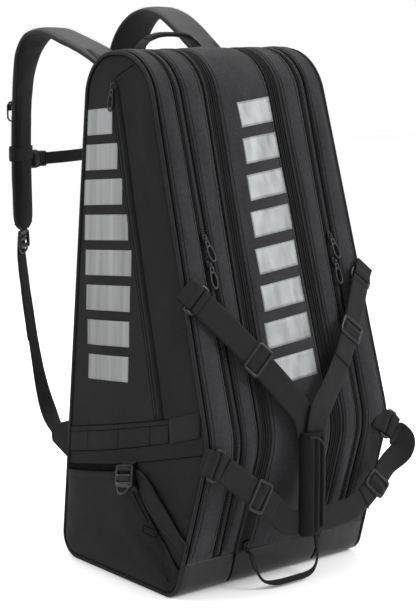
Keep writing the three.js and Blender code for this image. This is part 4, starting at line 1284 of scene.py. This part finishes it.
def shoulder_pad(side):
    path, across, inner = webbing_frames(PAD_ROUTES[side], PAD_SPAN_STEPS)
    along = arc_lengths(path)
    full = 1 - 0.35 * np.exp(-along / 14) - 0.55 * np.exp(-(along[-1] - along) / 7)
    c, s = circle(40)
    a, b = PAD_HALF * 0.96 * squared_off(c, 0.7), squared_off(s, 0.75)
    crown = 3.4 + 3.6 * smooth(0, 70, along)
    middle = path[:, None] + across[:, None] * (a[None, :] * full[:, None])[..., None]
    creases = waves(middle, FINE) * 0.4
    points = middle + inner[:, None] * (b[None, :] * crown[:, None] * full[:, None] + creases)[..., None]
    points, faces = tube_parts(points, False)
    uv = np.stack([a[None, :] + 0 * along[:, None], along[:, None] + 0 * a[None, :]], -1).reshape(-1, 2)
    piece = make_object(side + "_pad", points, faces, PAD_FACE, uv)
    piece.data.materials.append(PAD_MESH)
    back = [int(b[i % len(b)] > 0.05) for i in range(len(faces) - 2)] + [0, 0]
    piece.data.polygons.foreach_set("material_index", np.array(back, np.int32))
    settle(piece, 1.6)
    mount(piece, "harness", side + "_shoulder_pad")
    for edge, label in ((-1, "inner"), (1, "outer")):
        line = path + across * (edge * PAD_HALF * 0.965 * full)[:, None]
        section = round_section(3.0, 1.8, 10, 0.8)
        rod(f"{side}_pad_binding_{label}", line, section, BINDING, "harness", inner)
        inset, drop = edge * (PAD_HALF - 4.6) * full, crown * 0.82 * full
        row = path + across * inset[:, None] - inner * drop[:, None]
        THREADS["harness"].row(row[8:-6], -inner[8:-6])
    end = path[-3] + np.stack([across[-1] * x for x in np.linspace(-26, 26, 20)])
    section = round_section(3.4, 2.4, 10)
    rod(side + "_pad_end_binding", end, section, BINDING, "harness", across=crosswise(end, inner[-1]))
    anchor_patch(side, path, across, inner, along)
    pad_band(side, path, across, inner)


def anchor_patch(side, path, across, inner, along):
    """The reinforced root of a pad: a webbing patch with a boxed cross of stitches."""
    keep = (along > 16) & (along < 62)
    rise = -(3.6 + 2.4 * smooth(0, 70, along[keep]))
    piece = strap(side + "_anchor_patch", path[keep], across[keep], inner[keep], 44, 1.2, BINDING, rise)
    mount(piece, "harness")
    rows, face = np.nonzero(keep)[0], rise - 0.9
    corner = lambda k, x: path[rows[k]] + across[rows[k]] * x + inner[rows[k]] * face[k]
    box = [corner(2, -18), corner(2, 18), corner(-3, 18), corner(-3, -18), corner(2, -18)]
    for start, end in list(zip(box, box[1:])) + [(box[0], box[2]), (box[1], box[3])]:
        steps = np.linspace(0, 1, 12)[:, None]
        THREADS["harness"].row(start * (1 - steps) + end * steps, -inner[rows[0]], pitch=2.8, length=2.2)


def pad_band(side, path, across, inner):
    """The elastic keeper that holds the chest strap on the pad, with its slide clip."""
    low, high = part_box("chest_webbing")
    at = nearest_height(path, (low.z + high.z) / 2 / MM + (10 if side == "left" else 0))
    c, s = circle(36)
    a, b = (PAD_HALF + 2.4) * squared_off(c, 0.7), 8.8 * squared_off(s, 0.8)
    heights = np.linspace(-10.5, 10.5, 10)
    ring = path[at] + a[:, None] * across[at] + b[:, None] * inner[at]
    outward = ring - path[at]
    grid = ring[:, None] + np.array((0, 0, 1.0)) * heights[None, :, None]
    grown = grid + outward[:, None] / np.linalg.norm(outward, axis=1)[:, None, None] * 1.3
    length = arc_lengths(ring)
    uv = np.stack([heights[None] + 0 * length[:, None], length[:, None] + 0 * heights[None]], -1)
    mount(slab(side + "_pad_keeper", grown, grid, NARROW_WEB, uv, close_rows=True), "harness")
    outward = across[at] * (1 if side == "right" else -1)
    clip = (path[at] - inner[at] * 10.4 + outward * 14, across[at], np.array((0, 0, 1.0)), -inner[at])
    shapes = [loop_shape(16, 26, 3.2, 3.2, 3), *bars(3.0, 3.0, ((-6, 0, 0.4), (6, 0, 0.4)))]
    fitting(side + "_keeper_clip", clip, shapes, PLASTIC, "harness")


def accessory_loop():
    """The small ring on a webbing loop, on the outer face of the left pad."""
    path, across, inner = webbing_frames(PAD_ROUTES["left"], PAD_SPAN_STEPS)
    at = nearest_height(path, 672)
    place = (path[at] - inner[at] * 14.5 - across[at] * 8, inner[at], np.array((0, 0, 1.0)), across[at])
    fitting("accessory_ring", place, [loop_shape(16, 32, 2.6, 2.6, 6.5)], PAINTED, "harness")
    steps = ((16, -2), (17, 3.5), (11, 6.5), (9, 2.5), (12, -2.5), (2, -3.2))
    line = curve_through([place[0] + up * place[2] + off * inner[at] for up, off in steps], 6)
    mount(tab("accessory_tab", line, across[at], 14, 1.4, NARROW_WEB), "harness")


def doubled_strap(names, node, frames, width, share):
    """A strap that stands for a CAD node, and its tail folded back over the first part of it."""
    path, across, out = frames
    stop = int(len(path) * share)
    main = strap(names[0], path, across, out, width, 1.8, NARROW_WEB)
    tail = strap(names[1], path[:stop], across[:stop], out[:stop], width - 0.6, 1.6, NARROW_WEB, 2.0)
    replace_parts(main, node)
    return main, tail


def lower_strap(side, sign):
    """The webbing from a pad's ladder lock down to the side of the bag, with the lock and its tab."""
    route = [(sign * x, y, z, sign * a, b, c) for x, y, z, a, b, c in TAIL]
    path, across, out = webbing_frames(route, 14)
    out = out * np.sign(out[:1, 1:2])
    names = (side + "_lower_strap", side + "_strap_tail")
    for piece in doubled_strap(names, side + "_lower_webbing", (path, across, out), 25, 0.46):
        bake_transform(piece)
    lock = side + "_ladder_lock"
    place = plate_frame(lock, (0, 1, 0), (0, 0, 1))
    fitting(side + "_strap_lock", place, lock_shapes(34, 30), PLASTIC, lock, lock)
    loop = curve_through([(486, 0), (480, 0.4), (474, 1.0), (470, 2.4)], 5)
    line = np.array([(place[0][0], place[0][1] + dy, z) for z, dy in loop])
    mount(tab(side + "_lock_tab", line, place[1], 25, 1.6, NARROW_WEB), "harness")
    wing_tab(side, sign)


def wing_tab(side, sign):
    """The sewn triangle at the back edge of the bag that the lower strap pulls on."""
    t = np.linspace(0, 1, 24)[:, None]
    q = np.linspace(0, 1, 20)[None, :]
    y = 138 + 54 * t + 0 * q
    low, high = 146 + 26 * t, 216 - 18 * t
    z = low * (1 - q) + high * q
    x = sign * (on_line(EDGE, z) - 4.5 + 1.5 * np.sin(q * math.pi) + 3 * t)
    grid = np.stack([x + waves(np.stack([x, y, z], -1), FINE) * 0.4, y, z], -1)
    thick = np.array((sign * 2.2, 0, 0))
    piece = slab(side + "_wing_tab", grid, grid - thick, SIDE_CLOTH, np.stack([y, z], -1))
    mount(piece, "shell")
    rows = []
    for share in (0.08, 0.92):
        height = (low * (1 - share) + high * share)[:, 0]
        rows.append(np.stack([x[:, int(share * 19)] + sign * 0.3, y[:, 0], height], -1))
    rows.append(np.stack([x[18:22, 10] + sign * 0.4, y[18:22, 0], z[18:22, 10]], -1))
    for row in rows:
        THREADS["shell"].row(row, (sign, 0, 0))


def chest_strap():
    """The chest strap with its tail, and the two halves of its side-release buckle."""
    run = ((-37, 404, 594), (0, 402, 595), (50, 403, 597), (84, 406, 598), (106, 404, 598))
    path, across, out = webbing_frames([(*point, 0, 0, 1) for point in run], 16)
    out = out * np.sign(out[:, 1:2].mean())
    names = ("chest_web", "chest_web_tail")
    for piece in doubled_strap(names, "chest_webbing", (path, across, out), 20, 0.42):
        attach(piece, "chest_strap")
    x, up, outward = np.eye(3)[[0, 2, 1]]
    low, high = (np.array(c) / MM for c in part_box("chest_buckle_socket"))
    shapes = [pad_shape(28, 20, 11), loop_shape(28, 20, 2.4, 12.4, 4)]
    shapes += bars(2.6, 1.4, ((-10, -4, 5.6), (10, -4, 5.6)))
    shapes += bars(2.2, 6.0, *(((side_x, -7, 0), (side_x, 4, 0)) for side_x in (-14.2, 14.2)))
    socket = ((low + high) / 2, up, x, outward)
    fitting("chest_socket", socket, shapes, PLASTIC, "harness", "chest_buckle_socket")
    low, high = (np.array(c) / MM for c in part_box("chest_buckle_plug"))
    place = (np.array((high[0] - 6, (low[1] + high[1]) / 2, (low[2] + high[2]) / 2)), up, x, outward)
    shapes = [loop_shape(26, 13, 3.0, 9.0, 2.6), *bars(2.6, 6.0, ((-10, 0.5, 0), (10, 0.5, 0)))]
    for prong in (-8.4, 0.0, 8.4):
        shapes += bars(3.4 if prong else 2.2, 3.8, ((prong, -6, 0), (prong * 1.04, -19, 0)))
    fitting("chest_plug", place, shapes, PLASTIC, "chest_strap", "chest_buckle_plug")


# ---------------------------------------------------------------- haul handle
HAUL_Y = 114


def haul_handle():
    """A webbing hoop with a padded sleeve round its top."""
    half = ((-60, 738), (-61, 762), (-52, 785), (-30, 798), (0, 801))
    route = [(x, HAUL_Y, z, 0, 1, 0) for x, z in half + tuple((-x, z) for x, z in half[-2::-1])]
    path, across, out = webbing_frames(route, 12)
    mount(strap("haul_web", path, across, out, 25, 2.6, NARROW_WEB), "haul_handle", "haul_handle")
    keep = (np.abs(path[:, 0]) < 44) & (path[:, 2] > 770)
    line, wide, up = path[keep], across[keep], out[keep]
    along = arc_lengths(line)
    fat = 1 - 0.28 * (np.exp(-along / 5) + np.exp(-(along[-1] - along) / 5))
    section = round_section(13.6, 3.6, 22, 0.7)
    rings = line[:, None] + wide[:, None] * (section[None, :, :1] * fat[:, None, None])
    rings = rings + up[:, None] * (section[None, :, 1:] * fat[:, None, None])
    rings = rings + up[:, None] * (waves(rings, FINE) * 0.4)[..., None]
    mount(tube("haul_sleeve", rings, SIDE_CLOTH), "haul_handle")
    up = up * np.sign(up[len(up) // 2, 2])
    for edge in (-10.4, 10.4):
        THREADS["haul_handle"].row((line + wide * edge + up * 3.5)[3:-3], up[3:-3])


# ---------------------------------------------------------------- sliders and pulls
# A slider's body, measured up the zip and outwards from its pull's hinge.
SLIDER_UP = 5.2
SLIDER_OUT = -5.8
LID_SLIDER_Z = 67


def slider_frame(name):
    """Slider origin and its directions across, up the zip and out, worked out from its joints."""
    joints = {j["name"]: j for j in frame["joints"]}
    up = np.array(joints[name + "_slide"]["axis"], float)
    up = up * np.sign(up[2])
    hinge = joints[name + "_pull_lift"]
    pivot = np.array(hinge["pos_m"]) / MM
    out = unit(np.cross(np.array(hinge["axis"], float), -up))
    return pivot, np.cross(up, out), up, out


def slider_shapes():
    """A slider: a shield-shaped body with two flanges, and the bridge that the pull hangs on."""
    up, out = SLIDER_UP, SLIDER_OUT
    bridge = [(0, up + a, out + o) for a, o in ((5, 3.6), (3, 6.2), (-3.4, 6.6), (-5.2, 3.8))]
    flanges = [((x, up + 5, out + 4.2), (x * 0.8, up - 5, out + 4.2)) for x in (-3.4, 3.4)]
    body = pad_shape(11.4, 14, 3.8, (0, up, out + 2.2), 0.6, 0.78)
    return [body, *bars(2.4, 1.6, bridge), *bars(1.2, 1.2, *flanges)]


def pull_shapes():
    """A pull: a link through the bridge and a long open frame with a pointed foot."""
    edge = ((0, 1.6), (2.4, 0.2), (2.6, -5), (4.0, -9), (5.0, -21), (2.6, -28), (0, -29.5))
    outline = list(edge) + [(-x, y) for x, y in edge[-2:0:-1]]
    path = polyline([(x, y, 0.4) for x, y in outline + [outline[0]]], 61)[:-1]
    rings = swept(path, crosswise(path, (0, 0, 1.0)), round_section(1.1, 1.9, 10, 0.7), True)
    return [tube_parts(rings, True), pad_shape(6.0, 3.4, 2.0, (0, -6.5, 0.4), 0.6)]


def swung(place, degrees):
    """The same place with its wide and long directions turned round the outward one."""
    centre, wide, along, thin = place
    c, s = math.cos(math.radians(degrees)), math.sin(math.radians(degrees))
    return centre, wide * c + along * s, along * c - wide * s, thin


# How far each pull hangs away from its zip, in degrees.
PULL_LEAN = {"left_upper": 16, "left_lower": 5, "right_upper": 16, "right_lower": 5,
             "left_pocket": -24, "right_pocket": 24}


def zip_pieces():
    for name, lean in PULL_LEAN.items():
        place = slider_frame(name)
        for label, body, where, shapes in (("slider", name + "_slider", place, slider_shapes()),
                                           ("pull", name + "_pull", swung(place, lean), pull_shapes())):
            fitting(f"{name}_zip_{label}", where, shapes, PAINTED, body, body)


def lid_puller():
    """Two sliders joined by a webbing loop, whose ends are shrunk round short cords."""
    y, z, ny, nz = OUT.at(OUT.length_at(LID_SLIDER_Z, -1))
    out, up = np.array((0, ny, nz)), np.array((0, -nz, ny))
    up = up * np.sign(up[2])
    x_at = (DEEP_SEAM[0] + LID_EDGE[0]) / 2 - 6
    ends = []
    for label, sign in SIDES:
        pivot = np.array((sign * x_at, y, z)) + out * 0.4 - up * SLIDER_UP - out * SLIDER_OUT
        place = (pivot, np.cross(up, out), up, out)
        fitting("lid_slider_" + label, place, slider_shapes(), PAINTED, "lid_puller", None)
        ring = tube_parts(swept(*ring_path(3.4, place), True), True)
        mount(make_object("lid_ring_" + label, *ring, PAINTED), "lid_puller")
        ends.append(pivot - up * 4)
    left, right = ends
    route = (
        (*left, 1, 0, 0.2), (-x_at + 3, left[1] - 5, 54, 1, 0, 0.2), (-62, -168, 34, 0.9, 0.1, 0.4),
        (-54, -176, 15, 0.6, 0.2, 0.7), (-38, -180, 9.5, 0, 0.5, 0.85), (0, -183, 9, 0, 0.5, 0.85),
        (38, -180, 11, 0, 0.5, 0.85), (54, -174, 22, -0.6, 0.2, 0.7), (62, -166, 40, -0.9, 0.1, 0.4),
        (x_at - 3, right[1] - 5, 56, -1, 0, 0.2), (*right, -1, 0, 0.2),
    )
    path, across, normal = webbing_frames(route, 12)
    along = arc_lengths(path)
    width = 4.2 + 4.8 * smooth(48, 78, along) * smooth(48, 78, along[-1] - along)
    piece = strap("lid_loop", path, across, normal, width, 2.0, NARROW_WEB)
    mount(piece, "lid_puller", "lid_puller")
    for end, look, sizes, start, stop in (("clip", PLASTIC, (4.4, 2.4), 4, 10),
                                          ("sleeve", BINDING, (3.7, 2.2), 12, 26)):
        for label, keep in (("left", slice(start, stop)), ("right", slice(-stop, -start))):
            section = round_section(*sizes, 14, 0.45)
            rod(f"lid_{end}_{label}", path[keep], section, look, "lid_puller", across=across[keep])


def ring_path(radius, place):
    """A ring through a slider's bridge: its path, its crosswise direction and its section."""
    pivot, across, up, out = place
    c, s = circle(18)
    path = pivot + radius * (c[:, None] * up + s[:, None] * out) - up * 1.5
    return path, crosswise(path, across), round_section(0.9, 0.9, 8)


# ---------------------------------------------------------------- pocket locks
def pocket_locks():
    """The lock on each pocket, its sewn loop and the webbing tail below it."""
    loop = ((23, -9), (20, -7), (17, -3), (14, 2.8), (11, 3.2), (8.0, -0.5), (9.5, -4), (15, -8))
    tail = ((0, 3.6), (-5, 2.2), (-9.5, -2.5), (-14, -7), (-20, -10))
    for side, sign in SIDES:
        lock = side + "_pocket_lock"
        centre, wide, along, thin = plate_frame(lock, (sign, 0, 0), (0, 0, 1))
        centre = centre + np.array((-sign * 3.5, -9.0, 1.5))
        fitting(side + "_lock", (centre, wide, along, thin), lock_shapes(43, 34), PLASTIC, lock, lock)
        for label, steps, per_span, width, lean in (("_lock_loop", loop, 5, 33, 0),
                                                    ("_lock_tail", tail, 6, 32, 0.35)):
            line = [centre + a * along + o * thin + np.array((0, lean * (a + 2), 0)) for a, o in steps]
            piece = tab(side + label, curve_through(line, per_span), wide, width, 1.5, NARROW_WEB)
            mount(piece, "shell")


# ---------------------------------------------------------------- plain printed bars
BAR_COUNT = 8
BAR_PITCH = 52.0
BAR_TALL = 38.0
LID_BULGE = 6.5


def lid_spot(s, x):
    """Places on the centre lid, as strip() gives them, at chosen lengths s and widths x."""
    y, z, ny, nz = OUT.at(s)
    half = on_line(shifted(LID_EDGE, -0.4), z)
    return {
        "s": s, "x": x, "y": y, "z": z, "ny": ny, "nz": nz, "t": (x + half) / (2 * half),
        "edge": half - np.abs(x), "end": np.minimum(s - BASE_FRONT, TOP_SEAM - s), "uv": np.stack([x, s], -1),
    }


def silver_bars():
    """A column of plain printed bars on the lid and on each side."""
    q, p = np.meshgrid(np.linspace(0, 1, 10), np.linspace(-1, 1, 25), indexing="ij")
    flat = lambda p, q, y, z: 0.45 + 0 * p
    for k in range(BAR_COUNT):
        top = OUT.length_at(708 - BAR_PITCH * k, -1)
        middle, half = 16 - 2.2 * k, 33 + 1.6 * k
        spot = lid_spot(top - BAR_TALL * q + 4 * p, middle + half * p)
        height = sewn(spot, LID_BULGE)
        face, back = raised(spot, height + 0.4), raised(spot, height - 0.5)
        mount(slab(f"lid_bar_{k + 1}", face, back, SILVER, spot["uv"]))
        high = 692 - BAR_PITCH * k
        edge = inside_crossing(high, 1, 2 * PIPING_RADIUS + 1)
        back, front = min(116 - 4.0 * k, edge), max(34 - 14.0 * k, -22 + 1.5 * k)
        lower = [(y, high - BAR_TALL + 0.1 * (back - y)) for y in (back, (back + front) / 2, front)]
        upper = [(y, z + BAR_TALL) for y, z in lower]
        for side, sign in SIDES:
            patch(f"{side}_bar_{k + 1}", sign, lower, upper, 26, 10, flat, 0.9, SILVER)


front_panels()
deep_pipings()
base_trim()
padded_back()
for side_name, side_sign in SIDES:
    for build in (placket, edge_piping, main_zip, side_panel, side_band, shoe_pocket, wing, pocket_zip):
        build(side_name, side_sign)
for arm_name, arm_route in ARMS.items():
    carry_arm(arm_name, arm_route)
carry_grip()
for side_name, side_sign in SIDES:
    shoulder_pad(side_name)
    lower_strap(side_name, side_sign)
for build in (accessory_loop, chest_strap, haul_handle, zip_pieces, lid_puller, pocket_locks, silver_bars):
    build()
for thread_body, thread in THREADS.items():
    thread.make(thread_body + "_stitching", thread_body, STITCHING)
for label in ("left_divider", "right_divider"):
    frame["nodes"][label].data.materials.clear()
    frame["nodes"][label].data.materials.append(LINING)


# ---------------------------------------------------------------- stage, camera and light
def floor():
    bpy.ops.mesh.primitive_plane_add(size=14, location=(0, 0, -0.0005))
    plane = bpy.context.object
    plane.name = "floor"
    n = Nodes("pale_floor")
    n.colour(n.noise(3, 2.0), (0.86, 0.86, 0.865), (0.9, 0.9, 0.905))
    n.shader.inputs["Emission Color"].default_value = (1, 1, 1, 1)
    plane.data.materials.append(n.finished(rough=0.75, glow=FLOOR_GLOW))


LAMPS = (
    ("key", (1.5, -2.4, 2.0), 1.2, 95),
    ("top", (0.1, 0.5, 2.6), 2.0, 45),
    ("rim", (-2.2, 1.0, 1.5), 1.2, 30),
)
LAMP_TARGET = Vector((0, 0, 0.4))
CAMERA_PLACE = (-1.6150, -1.9717, 0.8366)
CAMERA_DIRECTION = (0.62087, 0.76514, -0.17053)
CAMERA_LENS = 100.3
FLOOR_GLOW = 0.09


def stand(name, data, place, direction):
    """Adds a lamp or a camera to the scene, pointed along a direction."""
    holder = bpy.data.objects.new(name, data)
    holder.location = place
    holder.rotation_mode = "QUATERNION"
    holder.rotation_quaternion = Vector(direction).to_track_quat("-Z", "Y")
    bpy.context.scene.collection.objects.link(holder)
    return holder


def lights():
    world = bpy.data.worlds.new("studio")
    bpy.context.scene.world = world
    world.use_nodes = True
    background = world.node_tree.nodes["Background"]
    background.inputs["Color"].default_value = (1, 1, 1, 1)
    background.inputs["Strength"].default_value = 1.0
    for name, place, size, power in LAMPS:
        lamp = bpy.data.lights.new(name, "AREA")
        lamp.size = size
        lamp.energy = power
        stand(name, lamp, place, LAMP_TARGET - Vector(place))
    bpy.context.scene.view_settings.view_transform = "Standard"


def camera():
    data = bpy.data.cameras.new("camera")
    data.sensor_width = 36
    data.lens = CAMERA_LENS
    bpy.context.scene.camera = stand("camera", data, CAMERA_PLACE, CAMERA_DIRECTION)


floor()
lights()
camera()
